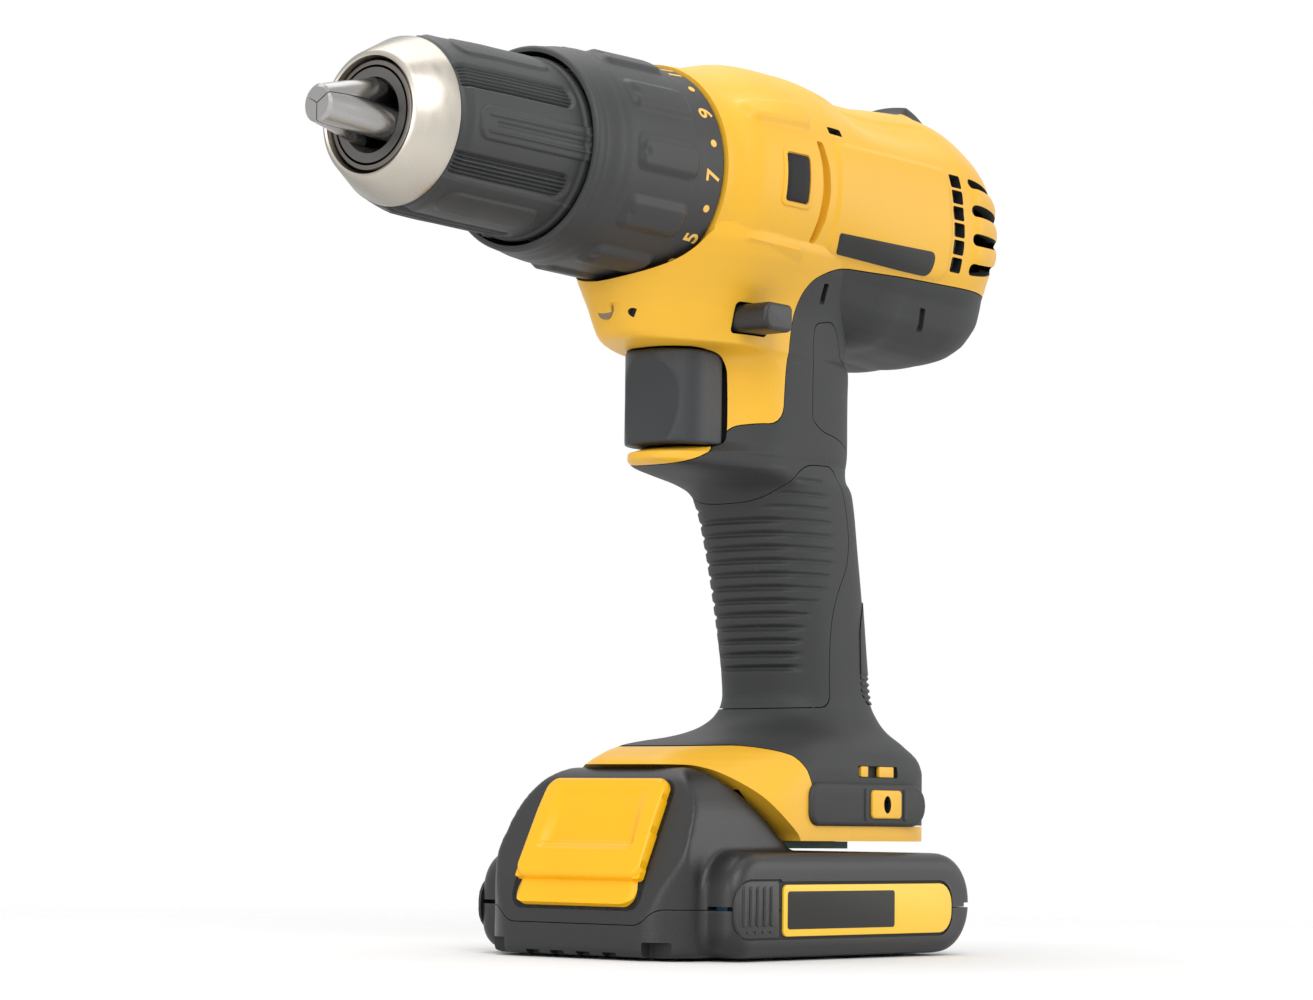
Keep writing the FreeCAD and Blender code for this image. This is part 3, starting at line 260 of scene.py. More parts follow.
def carve(obj, cutter, operation="DIFFERENCE", keep=False, sharp=40):
    """Cuts, joins or intersects obj with cutter, and keeps the result as its mesh."""
    mod = obj.modifiers.new("carve", "BOOLEAN")
    mod.operation = operation
    mod.solver = "MANIFOLD"
    mod.object = cutter
    mod.material_mode = "TRANSFER"
    settle(obj, sharp)
    if not keep:
        bpy.data.objects.remove(cutter)
    return obj


# ---------------------------------------------------------------- paints
def group(name, ins, outs):
    """A shader group with named sockets; gives the tree and its input and output nodes."""
    tree = bpy.data.node_groups.new(name, "ShaderNodeTree")
    for label, kind, value in ins:
        socket = tree.interface.new_socket(label, in_out="INPUT", socket_type=kind)
        socket.default_value = value
    for label, kind in outs:
        tree.interface.new_socket(label, in_out="OUTPUT", socket_type=kind)
    return tree, tree.nodes.new("NodeGroupInput"), tree.nodes.new("NodeGroupOutput")


def node(tree, kind, links=(), **settings):
    """A node with its inputs linked by index or name; in_2=... sets the value of input 2."""
    made = tree.nodes.new(kind)
    for key, value in settings.items():
        if key.startswith("in_"):
            made.inputs[int(key[3:])].default_value = value
        else:
            setattr(made, key, value)
    for index, source in dict(links).items():
        tree.links.new(source, made.inputs[index])
    return made


def math_node(tree, operation, *sources, clamp=False):
    """The result of a sum on linked values and plain numbers."""
    made = tree.nodes.new("ShaderNodeMath")
    made.operation = operation
    made.use_clamp = clamp
    for i, source in enumerate(sources):
        if isinstance(source, float):
            made.inputs[i].default_value = source
        else:
            tree.links.new(source, made.inputs[i])
    return made.outputs[0]


def moulding_group():
    """Fine spark texture and broad unevenness: shared by every moulded plastic."""
    ins = [("Grain", "NodeSocketFloat", 2500.0), ("Depth", "NodeSocketFloat", 0.3),
           ("Base", "NodeSocketColor", (0.5, 0.5, 0.5, 1)), ("Roughness", "NodeSocketFloat", 0.5)]
    outs = [("Color", "NodeSocketColor"), ("Roughness", "NodeSocketFloat"), ("Normal", "NodeSocketVector")]
    tree, given, out = group("moulded surface", ins, outs)
    place = tree.nodes.new("ShaderNodeTexCoord")
    fine = node(tree, "ShaderNodeTexNoise", {0: place.outputs["Object"], 2: given.outputs["Grain"]},
                in_3=3.0)
    broad = node(tree, "ShaderNodeTexNoise", {0: place.outputs["Object"]}, in_2=28.0, in_3=3.0)
    shift = math_node(tree, "MULTIPLY_ADD", broad.outputs[0], 0.16, 0.92)
    tint = node(tree, "ShaderNodeMix", {6: given.outputs["Base"], 7: shift}, data_type="RGBA",
                blend_type="MULTIPLY", in_0=1.0)
    uneven = math_node(tree, "MULTIPLY_ADD", broad.outputs[0], 0.14, -0.07)
    rough = math_node(tree, "ADD", given.outputs["Roughness"], uneven, clamp=True)
    bump = node(tree, "ShaderNodeBump", {"Height": fine.outputs[0], "Strength": given.outputs["Depth"]})
    bump.inputs["Distance"].default_value = 0.0002
    tree.links.new(tint.outputs[2], out.inputs[0])
    tree.links.new(rough, out.inputs[1])
    tree.links.new(bump.outputs[0], out.inputs[2])
    return tree


def edge_highlight_group():
    """Edge mask from the shape itself: painted highlight that makes convex edges paler, broken up by noise.
    """
    tree, given, out = group("painted edge highlight", [("Amount", "NodeSocketFloat", 0.4)],
                             [("Mask", "NodeSocketFloat")])
    shape = tree.nodes.new("ShaderNodeNewGeometry")
    place = tree.nodes.new("ShaderNodeTexCoord")
    blotch = node(tree, "ShaderNodeTexNoise", {0: place.outputs["Object"]}, in_2=180.0, in_3=4.0)
    edge = node(tree, "ShaderNodeMapRange", {0: shape.outputs["Pointiness"]},
                in_1=0.52, in_2=0.62, in_3=0.0, in_4=1.0)
    both = math_node(tree, "MULTIPLY", edge.outputs[0], blotch.outputs[0])
    mask = math_node(tree, "MULTIPLY", both, given.outputs["Amount"], clamp=True)
    tree.links.new(mask, out.inputs[0])
    return tree


moulding = moulding_group()
edge_highlight_tree = edge_highlight_group()


def plastic(name, color, roughness, grain=2500.0, depth=0.25, edge=0.15, highlight_color=None, coat=0.0,
            specular=0.5):
    """A moulded plastic: texture and unevenness from the shared group, with a painted highlight that makes
    convex edges paler.
    """
    paint = bpy.data.materials.new(name)
    paint.use_nodes = True
    tree = paint.node_tree
    shader = tree.nodes["Principled BSDF"]
    surface = tree.nodes.new("ShaderNodeGroup")
    surface.node_tree = moulding
    surface.inputs["Grain"].default_value = grain
    surface.inputs["Depth"].default_value = depth
    surface.inputs["Base"].default_value = (*color, 1)
    surface.inputs["Roughness"].default_value = roughness
    # painted highlight: convex edges mixed towards a paler colour
    highlight_mask = tree.nodes.new("ShaderNodeGroup")
    highlight_mask.node_tree = edge_highlight_tree
    highlight_mask.inputs[0].default_value = edge
    pale = highlight_color or tuple(min(1.0, c * 1.5 + 0.03) for c in color)
    mix = node(tree, "ShaderNodeMix", {0: highlight_mask.outputs[0], 6: surface.outputs["Color"]},
               data_type="RGBA")
    mix.inputs[7].default_value = (*pale, 1)
    tree.links.new(mix.outputs[2], shader.inputs["Base Color"])
    tree.links.new(surface.outputs["Roughness"], shader.inputs["Roughness"])
    tree.links.new(surface.outputs["Normal"], shader.inputs["Normal"])
    shader.inputs["Specular IOR Level"].default_value = specular
    shader.inputs["Coat Weight"].default_value = coat
    return paint


def metal(name, color, roughness, streak=(1.0, 1.0, 1.0), scale=600.0, depth=0.15, rim_shade_factor=0.45):
    """A metal with fine machining or blasting marks; streak squeezes the marks along an axis; painted shade
    darkens its colour where the surface turns away from the view.
    """
    paint = bpy.data.materials.new(name)
    paint.use_nodes = True
    tree = paint.node_tree
    shader = tree.nodes["Principled BSDF"]
    place = tree.nodes.new("ShaderNodeTexCoord")
    squeeze = node(tree, "ShaderNodeMapping", {0: place.outputs["Object"]})
    squeeze.inputs["Scale"].default_value = streak
    marks = node(tree, "ShaderNodeTexNoise", {0: squeeze.outputs[0]}, in_2=scale, in_3=4.0)
    broad = node(tree, "ShaderNodeTexNoise", {0: place.outputs["Object"]}, in_2=45.0, in_3=3.0)
    tone = node(tree, "ShaderNodeMapRange", {0: broad.outputs[0]},
                in_1=0.3, in_2=0.7, in_3=0.9, in_4=1.06)
    tint = node(tree, "ShaderNodeMix", {7: tone.outputs[0]}, data_type="RGBA", blend_type="MULTIPLY",
                in_0=1.0)
    # painted shade: the colour darkens towards the rims, where the surface turns away from the view
    facing = node(tree, "ShaderNodeLayerWeight", in_0=0.5)
    painted_rim_shade = node(tree, "ShaderNodeMix", {0: facing.outputs["Facing"]}, data_type="RGBA")
    painted_rim_shade.inputs[6].default_value = (*color, 1)
    painted_rim_shade.inputs[7].default_value = (*[c * rim_shade_factor for c in color], 1)
    tree.links.new(painted_rim_shade.outputs[2], tint.inputs[6])
    rough = node(tree, "ShaderNodeMapRange", {0: marks.outputs[0]},
                 in_1=0.25, in_2=0.75, in_3=roughness * 0.8, in_4=roughness * 1.25)
    bump = node(tree, "ShaderNodeBump", {"Height": marks.outputs[0]})
    bump.inputs["Strength"].default_value = depth
    bump.inputs["Distance"].default_value = 0.0001
    tree.links.new(tint.outputs[2], shader.inputs["Base Color"])
    tree.links.new(rough.outputs[0], shader.inputs["Roughness"])
    tree.links.new(bump.outputs[0], shader.inputs["Normal"])
    shader.inputs["Metallic"].default_value = 1.0
    return paint


# the amount and the last colour given to each plastic set its painted edge highlight
yellow = plastic("yellow shell", (0.86, 0.47, 0.030), 0.42, 2200.0, 0.22, 0.10, (0.97, 0.66, 0.16),
                 specular=0.45)
button_yellow = plastic("button yellow", (0.95, 0.48, 0.0), 0.36, 2600.0, 0.12, 0.10, (1.0, 0.62, 0.05),
                        specular=0.45)
soft_black = plastic("soft grip black", (0.030, 0.031, 0.032), 0.62, 1900.0, 0.35, 0.25,
                     (0.11, 0.112, 0.115), specular=0.42)
sleeve_black = plastic("chuck sleeve black", (0.026, 0.027, 0.028), 0.52, 2300.0, 0.25, 0.4,
                       (0.10, 0.102, 0.105))
hard_black = plastic("battery black", (0.012, 0.0125, 0.013), 0.40, 2600.0, 0.30, 0.35,
                     (0.07, 0.071, 0.073))
trigger_black = plastic("trigger black", (0.018, 0.020, 0.022), 0.46, 2600.0, 0.25, 0.3,
                        (0.08, 0.083, 0.086))
dark_label = plastic("dark label film", (0.024, 0.0235, 0.0225), 0.45, 3200.0, 0.05, 0.0, specular=0.25)
badge_black = plastic("badge black", (0.004, 0.004, 0.004), 0.45, 3000.0, 0.05, 0.1, specular=0.2)
label_yellow = plastic("label yellow film", (0.93, 0.58, 0.035), 0.30, 3200.0, 0.05, 0.0)
# painted shade: near-black for hollows, slits and cut walls where there is only shade; the carbon brushes
# take it too
shadow_black = plastic("painted shade black", (0.008, 0.008, 0.008), 0.7, 1500.0, 0.1, 0.0)
grey_moulding = plastic("grey moulding", (0.18, 0.18, 0.18), 0.5)
figure_yellow = plastic("printed figures", (0.93, 0.55, 0.12), 0.45, 2500.0, 0.1, 0.0)
# the satin nickel gets a deeper painted shade at its rims than the other metals
cone_metal = metal("satin nickel", (0.62, 0.575, 0.50), 0.30, (1.0, 0.25, 0.25), 900.0, 0.05,
                   rim_shade_factor=0.25)
jaw_metal = metal("ground steel", (0.42, 0.41, 0.40), 0.24, (0.12, 1.0, 1.0), 900.0, 0.25)
ring_metal = metal("turned steel", (0.20, 0.18, 0.165), 0.32, (1.0, 0.3, 0.3), 1200.0, 0.3)
dark_metal = metal("oiled steel", (0.16, 0.155, 0.15), 0.38, (1.0, 1.0, 1.0), 900.0, 0.3)
bright_steel = metal("bright steel", (0.62, 0.62, 0.62), 0.28, (0.3, 1.0, 1.0), 700.0, 0.2)
copper = metal("copper", (0.72, 0.33, 0.16), 0.32, (0.2, 1.0, 1.0), 900.0, 0.4)


# ---------------------------------------------------------------- outer form of the housing
def hermite(values, t):
    """Smooth value at index t of a list, which never runs past its stations."""
    last = len(values) - 1
    i = min(int(t), last - 1)
    f = t - i
    rises = [values[j + 1] - values[j] if 0 <= j < last else 0.0 for j in (i - 1, i, i + 1)]
    slopes = [2 * a * b / (a + b) if a * b > 0 else 0.0 for a, b in zip(rises, rises[1:])]
    h = f * f * (3 - 2 * f)
    bend = slopes[0] * f * (1 - f) ** 2 - slopes[1] * f * f * (1 - f)
    return values[i] * (1 - h) + values[i + 1] * h + bend


tail_x = 84.0          # where the rounded tail starts
tail_length = 31.0
tail_rows = 0.24       # share of the mesh rows that go to the tail

# radius of the barrel from the spindle axis along its top and along its flanks
top_line = ((0, 25.0), (4, 25.3), (9, 25.7), (20, 28.5), (25, 28.95), (38, 29.0), (46, 28.2), (51, 26.9),
            (56, 26.1), (68, 26.2), (74, 26.9), (84, 27.7), (98, 28.4))
flank_line = ((0, 25.0), (3, 25.5), (7.5, 28.2), (14, 29.0), (22, 29.4), (98, 29.4))

# what the motor housing adds to the radius, by degrees from the top
motor_section = ((0, 0.0), (60, 0.0), (90, 0.2), (100, 1.0), (112.5, 2.0), (121.7, 2.9), (130.2, 4.7),
                 (139.8, 8.6), (147.5, 9.7), (154, 9.5), (165, 7.8), (180, 6.6))

vent_gaps = (74.5, 87.5, 100.5, 113.5)         # turns of the rear vents


def barrel_radius(x, turn, inset=0.0):
    """Radius of the barrel and motor housing at a station, both flanks alike, with the rounded tail."""
    t = turn if turn <= 180 else 360 - turn
    arc = math.radians(t) * barrel_r
    flank = step(44, 70, t) * (1 - step(116, 140, t))
    r = straight_soft(top_line, x) * (1 - flank) + straight_soft(flank_line, x) * flank
    r += window(t, 60, 200, 12) * straight(motor_section, t) * step(34, 66, x)
    r += 1.6 * rise(slab(x, arc, 5.5, 27, 60.6, 67.4, 3), 1.5)
    r += 1.5 * rise(slab(x, arc, 6, 27, 26.5, 35.0, 3), 1.9)
    r += 0.55 * rise(slab(x, arc, 33.5, 77.5, 35.5, 62.5, 4), 1.2)
    r -= 0.4 * window(t, 36.0, 70.0, 5.0) * window(x, 40, 84, 8)
    if x > 82:
        for low, high in zip(vent_gaps, vent_gaps[1:]):
            mid = (low + high) / 2
            near = max(0.0, 1 - ((t - mid) / 6.5) ** 2)
            r += 1.3 * window(x, 86.5, 112, 4) * near ** 0.7
        r += 2.6 * rise(slab(x, arc, 89.0, 101.5, -8.0, 8.0, 2), 2.6)
        r += 0.6 * window(t, -20, 17, 3) * step(86, 88, x)
    lean = min(1.0, max(0.0, (x - tail_x) / (tail_length - inset)))
    return (r - inset) * (1 - lean * lean) ** 0.48


def straight_soft(table, x):
    """Straight-line value averaged over a short reach, so that corners come out soft."""
    if x <= 2:
        return straight(table, x)
    return sum(straight(table, x + k) for k in (-2.0, -1.0, 0.0, 1.0, 2.0)) / 5


def barrel_place(inset=0.0):
    """The barrel's surface, or one that lies inset from it, for a patch."""
    def place(u, v):
        turn = 360.0 * u
        if v < 1 - tail_rows:
            x = inset + (tail_x - inset) * v / (1 - tail_rows)
        else:
            share = (v - 1 + tail_rows) / tail_rows
            x = tail_x + (tail_length - inset) * math.sin(math.radians(90 * share))
        return polar(x, barrel_radius(x, turn, inset), turn)
    return place


# height, front, back, half width at the front and at the back, where the front taper ends, squareness
core_stations = (
    (25.0, -4.2, 77.0, 26.5, 30.0, 22, 5.0), (33.0, -4.2, 77.0, 25.5, 30.0, 22, 5.0),
    (37.0, -4.2, 77.0, 22.5, 30.0, 24, 5.0), (40.0, -4.2, 77.0, 18.5, 30.0, 26, 5.0),
    (42.0, -3.4, 77.0, 15.5, 29.7, 27, 4.8), (43.6, -1.0, 76.8, 14.0, 29.0, 28, 4.6),
    (45.0, 3.4, 76.5, 14.5, 27.8, 29, 4.3), (46.2, 10.0, 76.2, 16.5, 26.2, 31, 4.0),
    (47.2, 18.0, 76.0, 17.5, 24.6, 34, 3.8), (48.2, 27.0, 75.8, 18.0, 22.8, 38, 3.5),
    (49.4, 33.5, 75.5, 18.0, 20.8, 41, 3.2), (51.0, 37.8, 75.2, 17.4, 18.8, 43, 3.0),
    (53.4, 40.4, 74.9, 16.4, 16.9, 44, 2.8), (56.0, 41.3, 74.5, 15.7, 15.6, 44, 2.7),
    (58.0, 41.6, 74.2, 15.4, 15.3, 44, 2.7), (65.0, 40.6, 73.2, 15.0, 15.0, 44, 2.7),
    (80.0, 37.4, 71.2, 15.2, 15.2, 42, 2.7), (92.0, 34.4, 69.1, 15.5, 15.5, 40, 2.7),
    (100.0, 31.6, 67.6, 15.4, 15.9, 40, 2.7), (104.2, 28.0, 66.8, 14.6, 16.1, 38, 2.7),
    (106.0, 20.0, 66.5, 13.4, 16.3, 36, 2.7), (107.2, 9.0, 66.3, 12.6, 16.4, 34, 2.7),
    (108.0, 3.6, 66.2, 12.2, 16.5, 32, 2.7), (109.2, 1.8, 66.0, 12.1, 16.6, 32, 2.7),
    (110.4, 2.0, 65.9, 12.2, 16.7, 32, 2.7), (111.2, 4.6, 65.8, 12.6, 16.8, 30, 2.7),
    (112.2, 8.6, 65.6, 13.1, 16.9, 30, 2.7), (114.0, 11.9, 65.4, 13.4, 17.0, 30, 2.7),
    (118.0, 13.1, 65.1, 13.6, 17.2, 30, 2.7), (124.0, 13.4, 64.7, 14.0, 17.5, 30, 2.7),
    (129.0, 13.2, 64.5, 14.4, 17.8, 30, 2.7), (131.6, 12.0, 64.5, 14.7, 18.0, 28, 2.7),
    (133.0, 9.6, 64.5, 14.6, 18.1, 26, 2.7), (133.8, 4.0, 64.5, 14.0, 18.2, 24, 2.7),
    (134.2, -3.0, 64.5, 12.9, 18.3, 22, 2.7), (134.7, -7.4, 64.5, 12.3, 18.4, 20, 2.7),
    (135.8, -9.4, 64.5, 12.0, 18.5, 20, 2.7), (138.3, -10.9, 64.5, 12.3, 18.8, 19, 2.7),
    (142.0, -12.5, 64.5, 12.9, 19.3, 18, 2.7), (145.0, -13.7, 64.5, 14.0, 20.2, 17, 2.7),
    (148.0, -14.3, 64.5, 15.6, 21.6, 16, 2.7), (151.0, -14.4, 64.5, 17.4, 23.2, 15, 2.7),
    (154.0, -14.4, 64.5, 19.4, 24.9, 14, 2.7), (157.0, -14.4, 64.5, 21.4, 26.0, 13, 2.7),
    (160.0, -14.0, 64.0, 22.6, 26.0, 12, 2.7))
core_columns = list(zip(*core_stations))


known_rows = {}


def row_at(height):
    """The row of the core's stations that lies at a height."""
    if height not in known_rows:
        low, high = 0.0, len(core_stations) - 1.0
        for _ in range(30):
            mid = (low + high) / 2
            low, high = (mid, high) if hermite(core_columns[0], mid) < height else (low, mid)
        known_rows[height] = low
    return known_rows[height]


def core_place(inset=0.0, swell=None, low=None, high=None):
    """The grip, the flanks round the trigger and the chin; low and high pick a band of heights."""
    def place(u, v):
        row = (len(core_stations) - 1) * v if low is None else row_at(round(low + (high - low) * v, 4))
        station = [hermite(column, row) for column in core_columns]
        z, front, back, half_front, half_back, taper, square = station
        a = 2 * math.pi * u
        c, s = math.cos(a), math.sin(a)
        lengthways = math.copysign(abs(c) ** (2 / square), c)
        sideways = math.copysign(abs(s) ** (2 / square), s)
        middle = (front + back) / 2
        deep = (back - front) / 2 - inset
        grow = swell(z, middle + deep * lengthways, c) if swell else 0.0
        x = middle + (deep + grow) * lengthways
        half = half_front + (half_back - half_front) * step(front, taper, x) - inset + grow
        return at(x, half * sideways, z)
    return place


def barrel_block(inset=0.0):
    """The barrel as a block; an inset one is coarser and cuts the hollow."""
    if inset:
        return solid(patch(96, 60, barrel_place(inset)), shadow_black)
    return solid(patch(300, 190, barrel_place()), yellow)


def core_block(inset=0.0):
    """The handle with chin and foot as a block; an inset one is coarser and cuts the hollow."""
    if inset:
        return solid(patch(80, 110, core_place(inset)), shadow_black)
    return solid(patch(220, 300, core_place()), yellow)


# side view of everything on the handle that is black
black_zone = ((130, 155.2, 0), (38.5, 154.6, 6), (31.6, 149.5, 5), (30.4, 142, 4), (30.4, 118.2, 4),
              (23.0, 118.0, 3), (19.0, 117.0, 3), (14.4, 112.0, 6), (6.0, 107.9, 4), (-4, 106.0, 0),
              (-14, 100, 0), (-14, 44.6, 0), (18, 45.8, 4), (21.8, 43.5, 3), (25.0, 38.5, 3),
              (26.9, 31.5, 2), (28.5, 28.4, 2), (90, 28.4, 0), (90, 118, 0), (130, 118, 0))


def offset_outline(points, gap):
    """The same outline moved outwards by gap, for a corner list that runs either way round."""
    flat = [Vector((u, v)) for u, v, _ in points]
    area = sum(a.x * b.y - b.x * a.y for a, b in zip(flat, flat[1:] + flat[:1]))
    side = 1 if area > 0 else -1
    moved = []
    for i, here in enumerate(flat):
        before = (here - flat[i - 1]).normalized()
        after = (flat[(i + 1) % len(flat)] - here).normalized()
        out = Vector((before.y + after.y, -before.x - after.x)) * side
        reach = gap / max(0.3, (1 + before.dot(after)) / 2) ** 0.5
        there = here + out.normalized() * reach
        moved.append((there.x, there.y, points[i][2]))
    return moved


def rod(a, b, r0, r1=None, steps=64, rim=0.0):
    """A round bar between two points."""
    bm = bmesh.new()
    way = b - a
    place = Matrix.Translation((a + b) / 2) @ way.to_track_quat("Z", "Y").to_matrix().to_4x4()
    bmesh.ops.create_cone(bm, cap_ends=True, segments=steps, radius1=r0 * MM,
                          radius2=(r0 if r1 is None else r1) * MM, depth=way.length, matrix=place)
    if rim > 0:
        soften(bm, [e for e in bm.edges if any(len(f.verts) == steps for f in e.link_faces)], rim)
    return bm


def wrapped(outline, low, high, rim=0.0, surface=barrel_radius, segments=4):
    """A plate laid on a round surface, between two heights over it; outline of (x, turn, corner radius)."""
    flat = [(x, math.radians(turn) * barrel_r, r) for x, turn, r in outline]
    bm = prism(flat, low, high, "flat", rim, segments)
    for axis, pitch in ((0, 2.5), (1, 1.2)):
        spread = [point[axis] for point in flat]
        cuts = int((max(spread) - min(spread)) / pitch)
        for i in range(1, cuts + 1):
            level = min(spread) + (max(spread) - min(spread)) * i / (cuts + 1)
            spot = [0.0, 0.0, 0.0]
            spot[axis] = level * MM
            bmesh.ops.bisect_plane(bm, geom=bm.verts[:] + bm.edges[:] + bm.faces[:], dist=1e-7,
                                   plane_co=spot, plane_no=(axis == 0, axis == 1, 0))
    for vert in bm.verts:
        x = vert.co.x / MM
        turn = math.degrees(vert.co.y / MM / barrel_r)
        height = vert.co.z / MM
        vert.co = polar(x, surface(x, turn) + height, turn)
    return bm


def both_flanks(bm):
    """Adds the same shape on the other flank."""
    made = bmesh.ops.duplicate(bm, geom=bm.verts[:] + bm.edges[:] + bm.faces[:])["geom"]
    bmesh.ops.scale(bm, vec=(1, -1, 1), verts=verts_in(made))
    bmesh.ops.reverse_faces(bm, faces=[g for g in made if isinstance(g, bmesh.types.BMFace)])
    return bm


def twin(obj, paint):
    """A second object with its own copy of the mesh, in another paint."""
    other = obj.copy()
    other.data = obj.data.copy()
    bpy.context.scene.collection.objects.link(other)
    other.data.materials[0] = paint
    return other


def parts_of(obj, zone, gap, paint):
    """Splits off what lies in the zone, given as a corner list, as a new object with its own paint."""
    inner = twin(obj, paint)
    carve(inner, solid(prism(offset_outline(zone, -gap), -60, 60), shadow_black), "INTERSECT")
    carve(obj, solid(prism(zone, -60, 60), shadow_black))
    return inner


def melted(obj, pitch, rounds):
    """Evens the mesh out and rounds every edge and inner corner a little, as a moulding does."""
    even = obj.modifiers.new("even", "REMESH")
    even.mode = "VOXEL"
    even.voxel_size = pitch * MM
    soft = obj.modifiers.new("soft", "SMOOTH")
    soft.factor = 0.5
    soft.iterations = rounds
    settle(obj, 60)
    return obj


# ---------------------------------------------------------------- housing
screw_places = ((31, 140.5), (62, 142.5), (101, 147), (40.5, 104.5), (64.5, 62), (72, 41))


def housing_hollow():
    """The room inside the housing, less the wall round the battery bay, the collar seat and the bosses."""
    hollow = core_block(wall)
    carve(hollow, solid(cuboid(-20, 34, -40, 40, 10, 50), shadow_black))
    carve(hollow, solid(cuboid(-20, 90, -40, 40, 10, 27.6), shadow_black))
    carve(hollow, solid(rod(at(-40, 0, axis_z), at(wall, 0, axis_z), 28.0)))
    carve(hollow, barrel_block(wall), "UNION")
    bosses = merged(*[rod(at(x, 0, z), at(x, 45, z), 4.6, steps=32) for x, z in screw_places])
    carve(hollow, solid(bosses))
    return hollow


def housing_shell():
    """Barrel, chin, handle and foot as one thin shell with its openings, both colours still in one."""
    shell = barrel_block()
    carve(shell, core_block(), "UNION")
    arch = ((-30, 10, 0), (21.8, 10, 0), (21.8, 25.5, 2), (3.2, 41.2, 3), (-30, 41.4, 0))
    carve(shell, solid(prism(arch, -60, 60), yellow))
    carve(shell, housing_hollow())

    # battery bay, collar seat, trigger opening, direction bar opening, speed button well
    bay = solid(cuboid(-10, 61.5, -22, 22, 28, 36), shadow_black)
    carve(bay, solid(cuboid(-10, 61.5, -19, 19, 10, 30), shadow_black), "UNION")
    carve(shell, bay)
    carve(shell, solid(rod(at(-40, 0, axis_z), at(0, 0, axis_z), 25.4, steps=128), yellow))
    carve(shell, solid(rod(at(-5, 0, axis_z), at(5, 0, axis_z), 21.9, steps=96), shadow_black))
    carve(shell, solid(cuboid(-6, 19, -10.8, 10.8, 111.9, 133.9, 1.2), shadow_black))
    carve(shell, solid(cuboid(11.3, 21.9, -40, 40, 136.7, 143.7, 1.0), shadow_black))
    well = ((42, 212, 0), (45.5, 197.9, 2), (63.5, 197.9, 2), (68, 212, 0))
    carve(shell, solid(prism(well, -9, 9), yellow))
    screw_holes = merged(*[rod(at(x, 5, z), at(x, 45, z), 3.1, steps=32) for x, z in screw_places])
    carve(shell, solid(screw_holes, soft_black))

    # a curved step with a slit in front of the label field, the slit's walls in painted shade black
    crescent = wrapped(((27.4, 72, 0.6), (29.6, 72, 0.6), (33.4, 95, 12), (29.6, 118, 0.6),
                        (27.4, 118, 0.6), (29.6, 95, 12)), -2.0, 4)
    carve(shell, solid(both_flanks(crescent), yellow))
    slit = wrapped(((27.4, 73, 0.4), (28.3, 73, 0.3), (30.7, 95, 12), (28.3, 117, 0.3),
                    (27.4, 117, 0.4), (29.6, 95, 12)), -2.4, -1.0)
    carve(shell, solid(both_flanks(slit), shadow_black))

    # recess of the work light in the chin
    lamp_recess = cuboid(-18, -11.3, -9.6, -1.6, 137.6, 141.9, 0.7)
    carve(shell, solid(lamp_recess, yellow))
    carve(shell, solid(rod(at(-18, -6.3, 139.7), at(-9, -6.3, 139.7), 1.0, steps=32), shadow_black))

    # slots under the barrel, vents in its flanks and the small window on top; the vents and the window get
    # walls in painted shade black
    belly_slots = []
    for x in (38.0, 72.8):
        belly_slots.append(wrapped(((x, 133.5, 0.3), (x + 1.9, 133.5, 0.3), (x + 3.0, 142, 0.3),
                                    (x + 1.1, 142, 0.3)), -1.4, 4))
    carve(shell, solid(both_flanks(merged(*belly_slots)), yellow))
    openings = []
    for i in range(6):
        low = 72.0 + 7.6 * i
        high = low + 6.4
        openings.append(wrapped(((78.2, low, 0.5), (82.4, low, 0.5), (82.4, high, 0.5), (78.2, high, 0.5)),
                                -6, 5))
    for turn in vent_gaps:
        openings.append(wrapped(((85.8, turn - 2.7, 1.2), (105, turn - 2.3, 1.0), (105, turn + 2.3, 1.0),
                                 (85.8, turn + 2.7, 1.2)), -7, 5))
    openings.append(wrapped(((33.6, 62.6, 0.4), (38.6, 62.6, 0.4), (38.6, 66.4, 0.4), (33.6, 66.4, 0.4)),
                            -1.6, 4))
    carve(shell, solid(both_flanks(merged(*openings)), shadow_black))
    return shell


shell = housing_shell()
rear_zone = ((86, -6.5, 2), (98, -8.5, 6), (125, -8.5, 0), (125, 8.5, 0), (98, 8.5, 6), (86, 6.5, 2))
rear_cap = twin(shell, soft_black)
carve(rear_cap, solid(prism(rear_zone, 172, 215, "z"), shadow_black), "INTERSECT")
carve(shell, solid(prism(offset_outline(rear_zone, seam), 172, 215, "z"), shadow_black))
grip = parts_of(shell, black_zone, seam, soft_black)

# grip insert: outline in side view, then where its grooves start and end at each height
insert_outline = ((0, 96.0, 0), (23.2, 97.2, 6), (32.7, 101.2, 5), (37.0, 109.6, 5), (51.0, 110.2, 3),
                  (55.0, 104.2, 6), (58.6, 90, 6), (52.4, 80.6, 6), (51.1, 72, 5), (51.3, 55.4, 3),
                  (13.3, 53.6, 0), (0, 53.6, 0))
rib_starts = ((64, 27), (70, 24), (82, 23), (88, 21.4), (94.2, 21), (97.2, 30.6), (100.2, 33.8),
              (103.3, 34.7), (106.3, 37))
rib_ends = ((64, 43), (73, 44), (76, 44.9), (79, 46.7), (82, 49), (85, 50.2), (88, 51), (94.2, 50.2),
            (97.2, 49.5), (100.2, 48.6), (103.3, 47.4), (106.3, 46.2))
groove_pitch = 3.02


def insert_ribs(z, x, c):
    """Fine grooves across the grip insert, and scallops down its front edge."""
    wave = (z - rib_starts[0][0]) / groove_pitch
    near = abs(wave - round(wave)) * groove_pitch
    if not -0.5 < wave < 14.5:
        return 0.0
    groove = max(0.0, 1 - (near / 0.6) ** 2) * 0.4
    side = window(x, straight(rib_starts, z), straight(rib_ends, z), 2.0) * groove
    edge = step(-0.6, -0.92, c) * max(0.0, 1 - (near / 0.9) ** 2) * 0.5 * (wave < 11.5)
    return -side - edge


